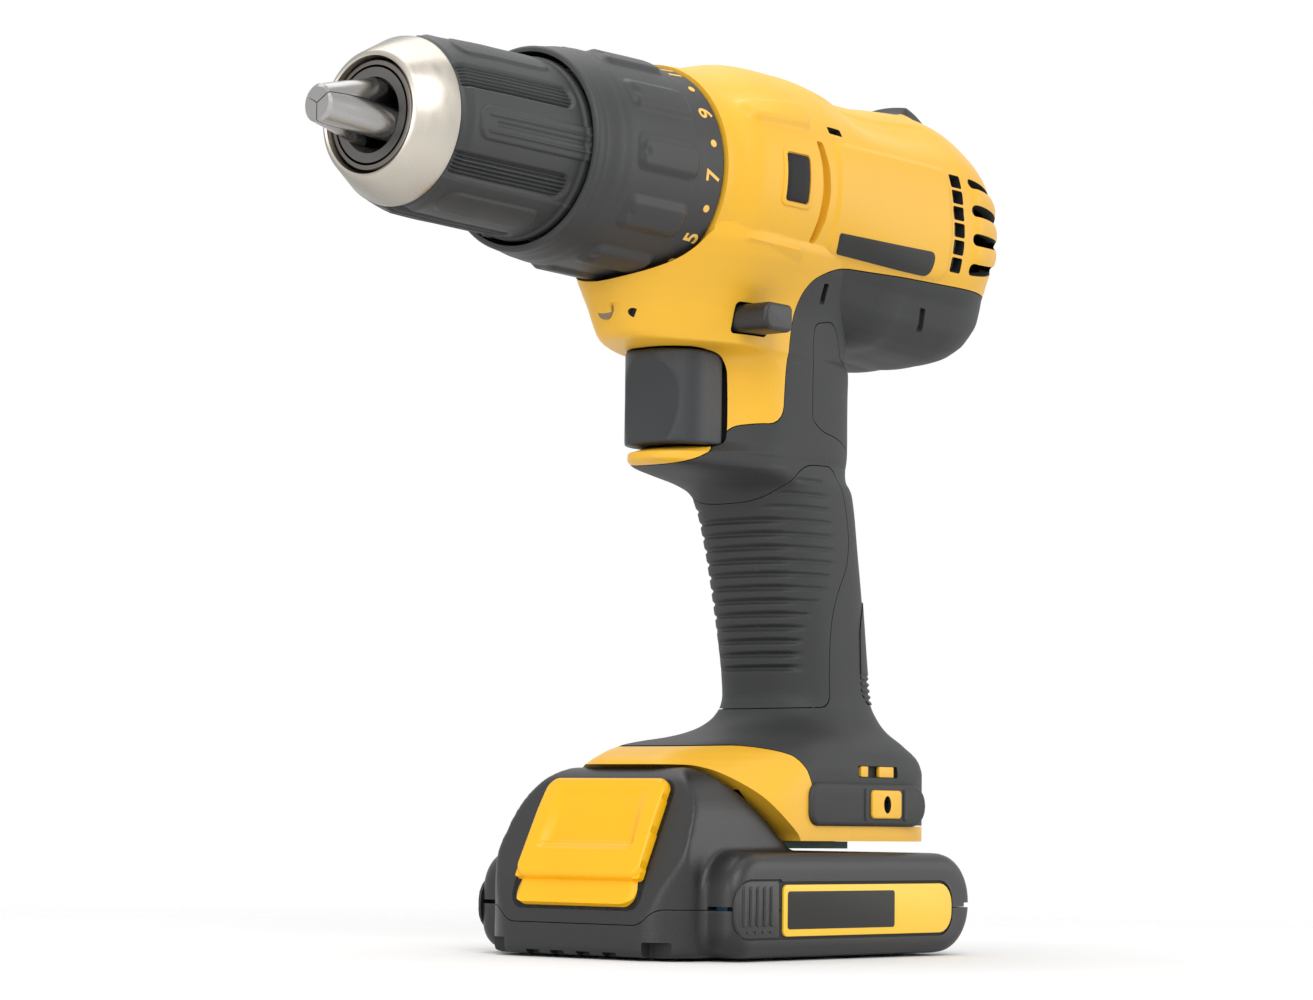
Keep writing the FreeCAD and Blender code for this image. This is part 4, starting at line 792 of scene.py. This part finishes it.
def tile(outline, swell, low, high, rows, inset=0.0, gap=seam):
    """A panel let into the grip, following its form between two heights."""
    panel = solid(patch(220, rows, core_place(inset, swell, low, high)), soft_black)
    carve(panel, solid(prism(outline, -40, 40), shadow_black), "INTERSECT")
    inner = core_place(2.0, None, low - 1, high + 1)
    carve(panel, solid(patch(80, 60, inner), shadow_black))
    carve(grip, solid(prism(offset_outline(outline, gap), -40, 40), shadow_black))
    return panel


grip_insert = tile(insert_outline, insert_ribs, 52.5, 111.5, 300)
thumb_outline = ((39.4, 141.8, 2), (47.5, 143.2, 2.5), (51.0, 140, 2), (53.5, 134.8, 1.5), (80, 134, 0),
                 (80, 111, 0), (64, 112.6, 3), (53.5, 116.6, 4), (43.4, 118.1, 3), (40.9, 120.5, 2))
thumb_panel = tile(thumb_outline, None, 110.5, 145.5, 120, gap=fine_seam)
strip_outline = ((63.4, 58.6, 1.5), (66.4, 56.4, 1), (82, 56.4, 0), (82, 80.6, 0), (66.9, 80.2, 1),
                 (64.8, 77.6, 1.5), (63.2, 74.3, 3))


def strip_ribs(z, x, c):
    """Close ribs at the foot of the strip on the handle's back; only the height counts here."""
    return -0.5 * window(z, 57, 63, 1) * (0.5 + 0.5 * math.sin(z * 4.4))


back_strip = tile(strip_outline, strip_ribs, 54, 84, 140, inset=-0.25)

# pods on the foot, each with a yellow plate for a belt hook between two bars
foot_pod = prism(((24, 28.3, 3), (66.8, 28.3, 4.6), (66.8, 37.8, 4.6), (24, 37.8, 3)), -31.2, -28.5,
                 rim=1.1)
bars = [prism(((x, 29.6, 0.5), (x + 1.1, 29.6, 0.5), (x + 1.1, 36.8, 0.5), (x, 36.8, 0.5)),
              -31.6, -30, rim=0.3) for x in (43.0, 57.6)]
foot_pod = merged(foot_pod, *bars)
hook_plate = prism(((45.3, 30.1, 1), (56.3, 30.1, 1), (56.3, 36.4, 1), (45.3, 36.4, 1)), -31.8, -30.2,
                   rim=0.3)
pods = solid(both_flanks(foot_pod), soft_black)
plates = solid(both_flanks(hook_plate), yellow)
hook_x = 50.8
hook_z = 33.2
hook_holes = merged(*[rod(at(hook_x, side * 26, hook_z), at(hook_x, side * 40, hook_z), 1.35, steps=32)
                      for side in (-1, 1)])
bmesh.ops.scale(hook_holes, vec=(1, 1, 1.45), space=Matrix.Translation(-at(hook_x, 0, hook_z)),
                verts=hook_holes.verts)
holes = solid(hook_holes, shadow_black)
carve(plates, holes, keep=True)
carve(pods, holes)
slot_cut = merged(cuboid(42.3, 57.3, -33, -28.6, 39.2, 41.8, 0.3),
                  cuboid(42.3, 57.3, 28.6, 33, 39.2, 41.8, 0.3))
carve(grip, solid(slot_cut, shadow_black))
slot_blocks = merged(*[cuboid(a, b, side * 29.3 - 0.5, side * 29.3 + 0.5, 39.3, 41.7, 0.2)
                       for side in (-1, 1) for a, b in ((43.6, 46.2), (50.4, 55.8))])
own(shell, "housing", "left_housing", "right_housing").name = "housing_shell"
own(grip, "housing", "left_grip", "right_grip").name = "grip_skin"
for made, name in ((rear_cap, "rear_cap"), (grip_insert, "grip_insert"), (back_strip, "back_strip"),
                   (thumb_panel, "thumb_panel"), (pods, "hook_pads"), (plates, "hook_plates")):
    own(made, "housing").name = name
piece("slot_blocks", slot_blocks, yellow, "housing")

# ---------------------------------------------------------------- badges and labels on the flanks
badge = [(14.6, 78.6, 1.4), (24.4, 78.6, 1.4), (24.4, 104.2, 1.4), (14.6, 104.2, 1.4)]
inset_badge = [(15.5, 80.4, 1.0), (23.5, 80.4, 1.0), (23.5, 102.4, 1.0), (15.5, 102.4, 1.0)]
badge_rim = solid(both_flanks(wrapped(badge, -0.6, 0.35, 0.25)), yellow)
carve(badge_rim, solid(both_flanks(wrapped(inset_badge, 0.0, 2)), yellow))
own(badge_rim, "housing", "side_labels").name = "badge_frames"
plate = [(15.7, 80.9, 0.9), (23.3, 80.9, 0.9), (23.3, 101.9, 0.9), (15.7, 101.9, 0.9)]
piece("badge_plates", both_flanks(wrapped(plate, -0.3, 0.22, 0.12)), badge_black, "housing")
strip = [(36.4, 110.6, 0.8), (71.4, 109.6, 2.2), (70.4, 120.4, 2.2), (37.6, 120.2, 0.8)]
piece("label_strips", both_flanks(wrapped(strip, -0.3, 0.12, 0.06)), dark_label, "housing")

# ---------------------------------------------------------------- trigger and direction bar
trigger_half = 10.4
trigger_side = ((0.4, 133.5, 1.5), (3.0, 129.6, 5), (4.8, 125.0, 8), (4.8, 118.2, 7), (2.6, 112.3, 3.0),
                (17.0, 112.3, 0.4), (17.0, 133.5, 0.4))
trigger_plan = ((1.8, -trigger_half, 9.0), (20, -trigger_half, 0), (20, trigger_half, 0),
                (1.8, trigger_half, 9.0))
trigger_form = solid(prism(trigger_side, -trigger_half, trigger_half, segments=8), trigger_black)
carve(trigger_form, solid(prism(trigger_plan, 108, 138, "z", segments=10), trigger_black), "INTERSECT")
carve(trigger_form, solid(rod(at(16, 0, 123), at(30.4, 0, 123), 3.0, steps=32), trigger_black), "UNION")
melted(trigger_form, 0.34, 16)
own(trigger_form, "trigger", "trigger").name = "trigger_form"

bar = prism(((11.7, 137.1, 2.4), (21.5, 137.1, 1.4), (21.5, 143.3, 1.4), (11.7, 143.3, 2.4)), -26.6, 18.6,
            rim=0.9, segments=6)
piece("direction_bar", bar, hard_black, "direction_selector", ("direction_selector",))

# ---------------------------------------------------------------- battery
slope_foot = (-20.2, 11.6)
slope_head = (-7.5, 37.6)
slope_length = math.dist(slope_foot, slope_head)
slope_run = (slope_head[0] - slope_foot[0]) / slope_length
slope_rise = (slope_head[1] - slope_foot[1]) / slope_length


def on_slope(y, u, n):
    """A point on the battery's sloping front: u up the slope, n out from it."""
    x = slope_foot[0] + slope_run * u - slope_rise * n
    z = slope_foot[1] + slope_rise * u + slope_run * n
    return at(x, y, z)


def laid(bm, place):
    """Moves a mesh made in flat coordinates onto its place."""
    for vert in bm.verts:
        vert.co = place(vert.co.x / MM, vert.co.y / MM, vert.co.z / MM)
    return bm


def relief(a0, a1, b0, b1, na, nb, height, base):
    """A block whose top follows height(a, b), in flat coordinates."""
    bm = bmesh.new()
    bmesh.ops.create_grid(bm, x_segments=na, y_segments=nb, size=1.0)
    for vert in bm.verts:
        a = a0 + (a1 - a0) * (vert.co.x + 1) / 2
        b = b0 + (b1 - b0) * (vert.co.y + 1) / 2
        vert.co = Vector((a, b, height(a, b))) * MM
    made = bmesh.ops.extrude_face_region(bm, geom=bm.faces[:])["geom"]
    for vert in verts_in(made):
        vert.co.z = base * MM
    return bm


def battery_block():
    """The pods along the sides, and the tower in front with its sloping face."""
    side = ((-10, 0, 6), (77.5, 0, 10.9), (77.5, 22.5, 10.9), (-10, 22.5, 9))
    block = solid(prism(side, -36.9, 36.9, rim=3.4, segments=10, rim_segments=6), hard_black)
    tower = ((-20.0, 0.05, 1.2), (74, 0.05, 0), (74, 22.0, 0), (22.5, 22.4, 3), (2.2, 40.6, 2.5),
             (-5.4, 40.6, 4), (-19.6, 12.0, 6))
    front = solid(prism(tower, -40, 40, segments=8), hard_black)
    across = ((-28.4, -5, 0), (28.4, -5, 0), (28.4, 14, 9), (24.4, 41.4, 13), (-24.4, 41.4, 13),
              (-28.4, 14, 9))
    carve(front, solid(prism(across, -30, 90, "x", segments=8), hard_black), "INTERSECT")
    plan = ((-20.0, -28.4, 11), (90, -28.4, 0), (90, 28.4, 0), (-20.0, 28.4, 11))
    carve(front, solid(prism(plan, -10, 60, "z", segments=10), hard_black), "INTERSECT")
    carve(block, front, "UNION")
    return melted(block, 0.62, 14)


battery = battery_block()
carve(battery, solid(cuboid(-2, 72, -33.4, 33.4, 3, 19.4), shadow_black))
seat_half = 18.5
button_seat = [(-seat_half, -1.2, 3.4), (seat_half, -1.2, 3.4), (seat_half, slope_length + 0.7, 3.6),
               (-seat_half, slope_length + 0.7, 3.6)]
seat = laid(prism(button_seat, -5.0, 6.0, "flat", segments=6), on_slope)
carve(battery, solid(seat, shadow_black))

# slots along the front foot, corner notches, rear parting line, and notches in the side pods
front_cuts = [cuboid(-22, -17.4, y - 1.9, y + 1.9, -1, 1.0) for y in (11.4, 4.4, -3.0, -10.4)]
front_cuts += [cuboid(-24, -16.6, side * 24.7 - 5.2, side * 24.7 + 5.2, -1, 3.4, 0.4)
               for side in (-1, 1)]
front_cuts += [cuboid(73.4, 80, -40, 40, 10.4, 11.3)]
front_cuts += [cuboid(-12, -6.5, side * 34.5 - 5, side * 34.5 + 5, 10.2, 11.1) for side in (-1, 1)]
carve(battery, solid(merged(*front_cuts), shadow_black))

# the upper shell keeps what lies in this zone, seen from the front, and the tray the rest
upper_zone = ((-60, 60, 0), (-60, 10.4, 0), (-22.5, 10.4, 1.5), (-18.4, 7.0, 1.5), (18.4, 7.0, 1.5),
              (22.5, 10.4, 1.5), (60, 10.4, 0), (60, 60, 0))
tray = twin(battery, hard_black)
carve(battery, solid(prism(upper_zone, -60, 120, "x"), shadow_black), "INTERSECT", sharp=30)
carve(tray, solid(prism(offset_outline(upper_zone, fine_seam), -60, 120, "x"), shadow_black), sharp=30)

# long sticker on each side with a dark panel, and a ribbed pad in front of it
label = [(6.6, 4.7, 1.2), (68.4, 4.7, 4.6), (68.4, 15.7, 4.6), (6.6, 15.7, 1.2)]
pad = [(-9.8, 4.3, 4.5), (5.4, 4.3, 0.8), (5.4, 16.6, 0.8), (-9.8, 16.6, 5.5)]
for side in (-1, 1):
    recess = prism([(-10.1, 4.0, 4.5), (68.9, 4.0, 5.0), (68.9, 16.4, 5.0), (6, 16.4, 0.6),
                    (5.7, 16.9, 0.6), (-10.1, 16.9, 5.5)], side * 36.55, side * 40)
    cutter = solid(recess, shadow_black)
    carve(battery, cutter, keep=True)
    carve(tray, cutter)
stickers = merged(*[prism(label, side * 36.3, side * 37.05, rim=0.12) for side in (-1, 1)])
panel_face = [(7.9, 6.2, 0.7), (46.5, 6.2, 0.7), (46.5, 14.3, 0.7), (7.9, 14.3, 0.7)]
panels = merged(*[prism(panel_face, side * 36.8, side * 37.12, rim=0.05) for side in (-1, 1)])
side_pads = merged(*[prism(pad, side * 36.0, side * 36.75, rim=0.25) for side in (-1, 1)])
ribs = merged(*[prism(((x, 6.8, 0.55), (x + 1.2, 6.8, 0.55), (x + 1.2, 15.4, 0.55), (x, 15.4, 0.55)),
                      side * 36.4, side * 37.1, rim=0.35)
                for side in (-1, 1) for x in (-7.2, -4.85, -2.5, -0.15, 2.2)])
dots = merged(*[rod(at(x, side * 36.4, 5.7), at(x, side * 37.0, 5.7), 0.35, 0.2, 16)
                for side in (-1, 1) for x in (-7.9, -5.3, -2.7, -0.1, 2.5)])

skirt_top = 5.2        # how far up the slope the button's skirt reaches


def button_height(y, u):
    """The press face: a rounded plate with a scooped dish and a firm lip, over a recessed skirt."""
    plate_half = 17.9 - 0.03 * u
    if u < skirt_top or abs(y) > plate_half:
        return 0.2 - 0.9 * step(15.2, 17.2, abs(y))
    edge = slab(y, u, -plate_half, plate_half, skirt_top, slope_length + 0.3, 3.2)
    top = 1.9 - 0.5 * step(20, 29, u)
    top -= 1.0 * (1 - math.sqrt(max(0.0, 1 - max(0.0, edge / 1.1 + 1) ** 2))) if edge > -1.1 else 0.0
    half = 14.6 - 1.4 * (u - 11) / 18
    dish = slab(y, u, -half, half, 11.2, 27.4, 2.4)
    depth = 1.35 * step(27.6, 12.6, u) + 0.4
    top -= depth * (1 - step(-3.2, -0.2, dish))
    top += 0.3 * math.exp(-((u - 13.4) / 0.5) ** 2) * (1 - step(-2.5, -1.2, abs(y) - half))
    return top


button_block = relief(-18.4, 18.4, -0.6, slope_length + 0.4, 150, 200, button_height, -4.0)
button = solid(laid(button_block, on_slope), button_yellow)
outline = [(-16.9, -0.4, 3.0), (16.9, -0.4, 3.0), (16.9, 5.1, 0.1), (18.0, skirt_top, 2.4),
           (17.2, slope_length + 0.4, 3.2), (-17.2, slope_length + 0.4, 3.2), (-18.0, skirt_top, 2.4),
           (-16.9, 5.1, 0.1)]
carve(button, solid(laid(prism(outline, -6, 6, "flat", segments=8), on_slope), button_yellow), "INTERSECT")
own(button, "release_button", "release_button").name = "button_face"
own(battery, "battery", "battery_cover").name = "battery_top"
own(tray, "battery", "battery_base").name = "battery_tray"
piece("battery_stickers", stickers, label_yellow, "battery", ("battery_labels",))
piece("battery_panels", panels, dark_label, "battery")
piece("battery_side_pads", merged(side_pads, ribs, dots), hard_black, "battery")

# ---------------------------------------------------------------- chuck
nose = [(-77.3, 16.4), (-77.3, 17.5), (-77.6, 17.75), (-78.4, 17.6), (-85.7, 13.75), (-86.2, 13.2),
        (-86.4, 12.7), (-86.2, 12.25), (-85.4, 12.0), (-84.6, 11.75), (-78, 11.75), (-78, 16.4)]
piece("nose_cone", lathe(nose, 160), cone_metal, "chuck_sleeve", ("chuck_nose",), sharp=25)
front_ring = [(-85.0, 11.5), (-85.4, 11.3), (-85.5, 11.0), (-85.5, 9.9), (-85.3, 9.6), (-84.6, 9.5),
              (-84.4, 9.2), (-84.3, 8.0), (-84.0, 7.7), (-79, 7.7), (-79, 11.5)]
piece("chuck_ring", lathe(front_ring, 128), ring_metal, "spindle", sharp=25)
# a ring of painted shade black fills the chuck's throat, where there is only shade
throat = [(-84.6, 9.3), (-84.75, 9.2), (-84.5, 7.2), (-83, 7.2), (-83, 9.3)]
piece("chuck_throat", lathe(throat, 96), shadow_black, "spindle")


sleeve_front = -77.3
sleeve_length = 38.7


def sleeve_radius(x, turn):
    """Grip sleeve of the chuck: six ribbed windows and six tongues, alternating."""
    r = along(((sleeve_front, 17.6), (-76.6, 18.1), (-74.0, 18.7), (-60, 19.1), (-45, 19.3),
               (-41.5, 19.4), (-40.6, 19.9), (-39.4, 20.0), (-38.6, 19.6)), x)
    turn = turn % 360
    arc = math.radians((turn - 4 + 30) % 60 - 30) * 19.3
    hollow = slab(x, arc, -79, -42.5, -3.3, 3.3, 3.2)
    if hollow < 0:
        r -= 0.75 * rise(hollow, 0.9)
        r += 0.28 * rise(hollow + 0.5, 0.5) * math.cos(arc * 2 * math.pi / 0.95) * step(-76.8, -75.8, x)
    sector = int(((turn - 34 + 30) % 360) // 60)
    arc = math.radians((turn - 34 + 30) % 60 - 30) * 19.3
    if sector % 2:
        tongue = slab(x, arc, -72.7, -36, -3.8, 3.8, 2.6)
        r += 0.5 * rise(tongue, 0.6)
        r += 0.35 * rise(slab(x, abs(arc), -70.5, -39.6, 1.2, 2.2, 0.5), 0.5)
        r -= 0.3 * rise(slab(x, arc, -68.5, -40, -0.7, 0.7, 0.6), 0.5)
    else:
        tongue = slab(x, arc, -73.7, -44.8, -3.7, 3.7, 3.7)
        r += 0.5 * rise(tongue, 0.7)
    return r


def sleeve_place(u, v):
    """The sleeve's surface, for a patch."""
    x = sleeve_front + sleeve_length * v
    return polar(x, sleeve_radius(x, 360 * u), 360 * u)


sleeve = solid(patch(620, 120, sleeve_place), sleeve_black)
carve(sleeve, solid(rod(at(-80, 0, axis_z), at(-30, 0, axis_z), 16.6, steps=96), shadow_black), sharp=35)
own(sleeve, "chuck_sleeve", "chuck_sleeve").name = "sleeve_grip"


collar_front = -40.4
collar_length = 40.1
lug_pitch = 32.727


def collar_radius(x, turn):
    """Torque collar: a stepped ring with eleven soft lugs and a smooth band for the figures."""
    r = along(((collar_front, 21.6), (-39.9, 22.3), (-38.4, 22.4), (-37.6, 22.6), (-33, 23.3),
               (-30, 23.6), (-9.5, 23.9), (-7.0, 24.0), (-0.9, 24.3), (-0.3, 23.9)), x)
    arc = math.radians((turn - 27.1 + lug_pitch / 2) % lug_pitch - lug_pitch / 2) * 24.0
    lug = slab(x, arc, -29.0, -8.2 - 0.06 * arc * arc, -4.5, 4.5, 2.6)
    r += 1.0 * rise(lug, 2.2)
    r -= 0.35 * math.exp(-((x + 26.6) ** 2 + arc * arc) / 0.8)
    return r


def collar_place(u, v):
    """The collar's surface, for a patch."""
    x = collar_front + collar_length * v
    return polar(x, collar_radius(x, 360 * u), 360 * u)


collar = solid(patch(560, 130, collar_place), sleeve_black)
carve(collar, solid(rod(at(-45, 0, axis_z), at(5, 0, axis_z), 21.0, steps=96), shadow_black), sharp=35)
own(collar, "clutch_collar", "clutch_collar").name = "torque_collar"

mark_x = -3.9          # middle of the band of figures
mark_r = 24.2
mark_pitch = 17.2      # degrees between a figure and the next dot
seven_turn = 97.6


def figure_mesh(text):
    """A raised figure, lying flat round the origin."""
    figure = bpy.data.curves.new("figure", "FONT")
    figure.body = text
    figure.size = 5.6
    figure.offset = 0.09
    figure.extrude = 0.12
    figure.align_x = "CENTER"
    figure.align_y = "CENTER"
    holder = bpy.data.objects.new("figure", figure)
    bpy.context.scene.collection.objects.link(holder)
    mesh = shaped_mesh(holder)
    bpy.data.objects.remove(holder)
    bm = bmesh.new()
    bm.from_mesh(mesh)
    bmesh.ops.scale(bm, vec=(MM, MM, MM), verts=bm.verts)
    return bm


def on_band(a, b, h, turn):
    """A point on the band round a figure's place: a round the collar, b towards the chuck, h outwards."""
    x = mark_x - b
    return polar(x, collar_radius(x, turn) + h, turn - math.degrees(a / mark_r))


marks = []
for i in range(-10, 10):
    turn = seven_turn + mark_pitch * i
    if i % 2:
        mark = rod(Vector((0, 0, -0.1 * MM)), Vector((0, 0, 0.2 * MM)), 0.85, steps=20, rim=0.1)
    else:
        mark = figure_mesh(str(7 - i))
    marks.append(laid(mark, lambda a, b, h: on_band(a, b, h, turn)))
piece("collar_figures", merged(*marks), figure_yellow, "clutch_collar", smooth=False)

# ---------------------------------------------------------------- finish of the pieces kept from the frame
wrap_green = plastic("cell wrap", (0.05, 0.16, 0.30), 0.35, 2600.0, 0.1)
board_green = plastic("circuit board", (0.02, 0.12, 0.06), 0.4, 2600.0, 0.1)
magnet_grey = metal("magnet", (0.24, 0.24, 0.25), 0.5, (1.0, 1.0, 1.0), 500.0, 0.4)
lens_clear = plastic("lamp lens", (0.20, 0.13, 0.04), 0.18, 3000.0, 0.02, 0.0, coat=1.0)
slot_paints = {"yellow_plastic": yellow, "soft_black": soft_black, "black_plastic": hard_black,
               "grey_plastic": grey_moulding, "warm_metal": cone_metal, "steel": bright_steel,
               "dark_steel": dark_metal, "hard_steel": jaw_metal, "magnet": magnet_grey, "copper": copper,
               "carbon": shadow_black, "clear_lens": lens_clear, "label": dark_label,
               "cell_wrap": wrap_green, "button_yellow": button_yellow, "selector_black": hard_black}
finishes = {part["node"]: part["material_slot"] for part in frame["record"]["subparts"]}
own_paints = {"rotor_core": copper, "battery_board": board_green, "wiring": trigger_black,
              "work_light": lens_clear}
for name, obj in frame["nodes"].items():
    paint = own_paints.get(name, slot_paints[finishes[name]])
    obj.data.materials.clear()
    obj.data.materials.append(paint)


# ---------------------------------------------------------------- floor, light and camera
def floor_paint():
    """Pale matt floor that fades out well away from the drill."""
    paint = bpy.data.materials.new("pale floor")
    paint.use_nodes = True
    tree = paint.node_tree
    shader = tree.nodes["Principled BSDF"]
    shader.inputs["Base Color"].default_value = (0.93, 0.93, 0.93, 1)
    shader.inputs["Roughness"].default_value = 0.8
    place = tree.nodes.new("ShaderNodeTexCoord")
    reach = node(tree, "ShaderNodeVectorMath", {0: place.outputs["Object"]}, operation="LENGTH")
    fade = node(tree, "ShaderNodeMapRange", {0: reach.outputs["Value"]},
                in_1=0.16, in_2=0.42, in_3=0.0, in_4=1.0)
    clear = tree.nodes.new("ShaderNodeBsdfTransparent")
    mix = tree.nodes.new("ShaderNodeMixShader")
    tree.links.new(fade.outputs[0], mix.inputs[0])
    tree.links.new(shader.outputs[0], mix.inputs[1])
    tree.links.new(clear.outputs[0], mix.inputs[2])
    tree.links.new(mix.outputs[0], tree.nodes["Material Output"].inputs[0])
    return paint


ground = bmesh.new()
bmesh.ops.create_circle(ground, cap_ends=True, segments=96, radius=0.6)
floor = piece("floor", ground, floor_paint(), None)
floor.location.z = -0.0006


def softbox(name, place, aim, size, power):
    """A square area lamp of a size in metres, turned towards a point."""
    lamp = bpy.data.lights.new(name, "AREA")
    lamp.energy = power
    lamp.size = size
    obj = bpy.data.objects.new(name, lamp)
    obj.location = place
    obj.rotation_mode = "QUATERNION"
    obj.rotation_quaternion = (Vector(aim) - obj.location).to_track_quat("-Z", "Y")
    bpy.context.scene.collection.objects.link(obj)


softbox("key light", (-0.55, -0.75, 0.75), (0, 0, 0.11), 0.7, 6.5)
softbox("front fill", (-0.95, -0.05, 0.25), (0, 0, 0.1), 0.6, 2.2)
softbox("rear fill", (0.7, -0.7, 0.3), (0, 0, 0.1), 0.6, 2.0)
softbox("top light", (0.05, 0.2, 0.95), (0, 0, 0.1), 0.8, 4.0)

world = bpy.data.worlds.new("studio")
bpy.context.scene.world = world
world.use_nodes = True
sky = world.node_tree
lit = sky.nodes["Background"]
lit.inputs[0].default_value = (1, 1, 1, 1)
lit.inputs[1].default_value = 0.48
seen = sky.nodes.new("ShaderNodeBackground")
seen.inputs[0].default_value = (1, 1, 1, 1)
seen.inputs[1].default_value = 1.0
rays = sky.nodes.new("ShaderNodeLightPath")
glossy = math_node(sky, "MAXIMUM", rays.outputs["Is Camera Ray"], rays.outputs["Is Glossy Ray"])
direct = math_node(sky, "MAXIMUM", glossy, rays.outputs["Is Transmission Ray"])
either = sky.nodes.new("ShaderNodeMixShader")
sky.links.new(direct, either.inputs[0])
sky.links.new(lit.outputs[0], either.inputs[1])
sky.links.new(seen.outputs[0], either.inputs[2])
sky.links.new(either.outputs[0], sky.nodes["World Output"].inputs[0])

bpy.context.scene.view_settings.view_transform = "Standard"

# camera: where it stands, how it is turned, then its axes
stand = Vector((-0.60347, -0.50609, 0.02905))
turn, lift, roll = (math.radians(a) for a in (-49.93, -5.16, 0.72))
back = Vector((math.sin(turn) * math.cos(lift), -math.cos(turn) * math.cos(lift), math.sin(lift)))
right = Vector((math.cos(turn), math.sin(turn), 0))
up = back.cross(right)
across = math.cos(roll) * right + math.sin(roll) * up
upward = math.cos(roll) * up - math.sin(roll) * right
lens = bpy.data.cameras.new("camera")
lens.lens = 97.3
lens.sensor_width = 36
lens.clip_start = 0.05
camera = bpy.data.objects.new("camera", lens)
bpy.context.scene.collection.objects.link(camera)
camera.matrix_world = Matrix(((across.x, upward.x, back.x, stand.x), (across.y, upward.y, back.y, stand.y),
                              (across.z, upward.z, back.z, stand.z), (0, 0, 0, 1)))
bpy.context.scene.camera = camera
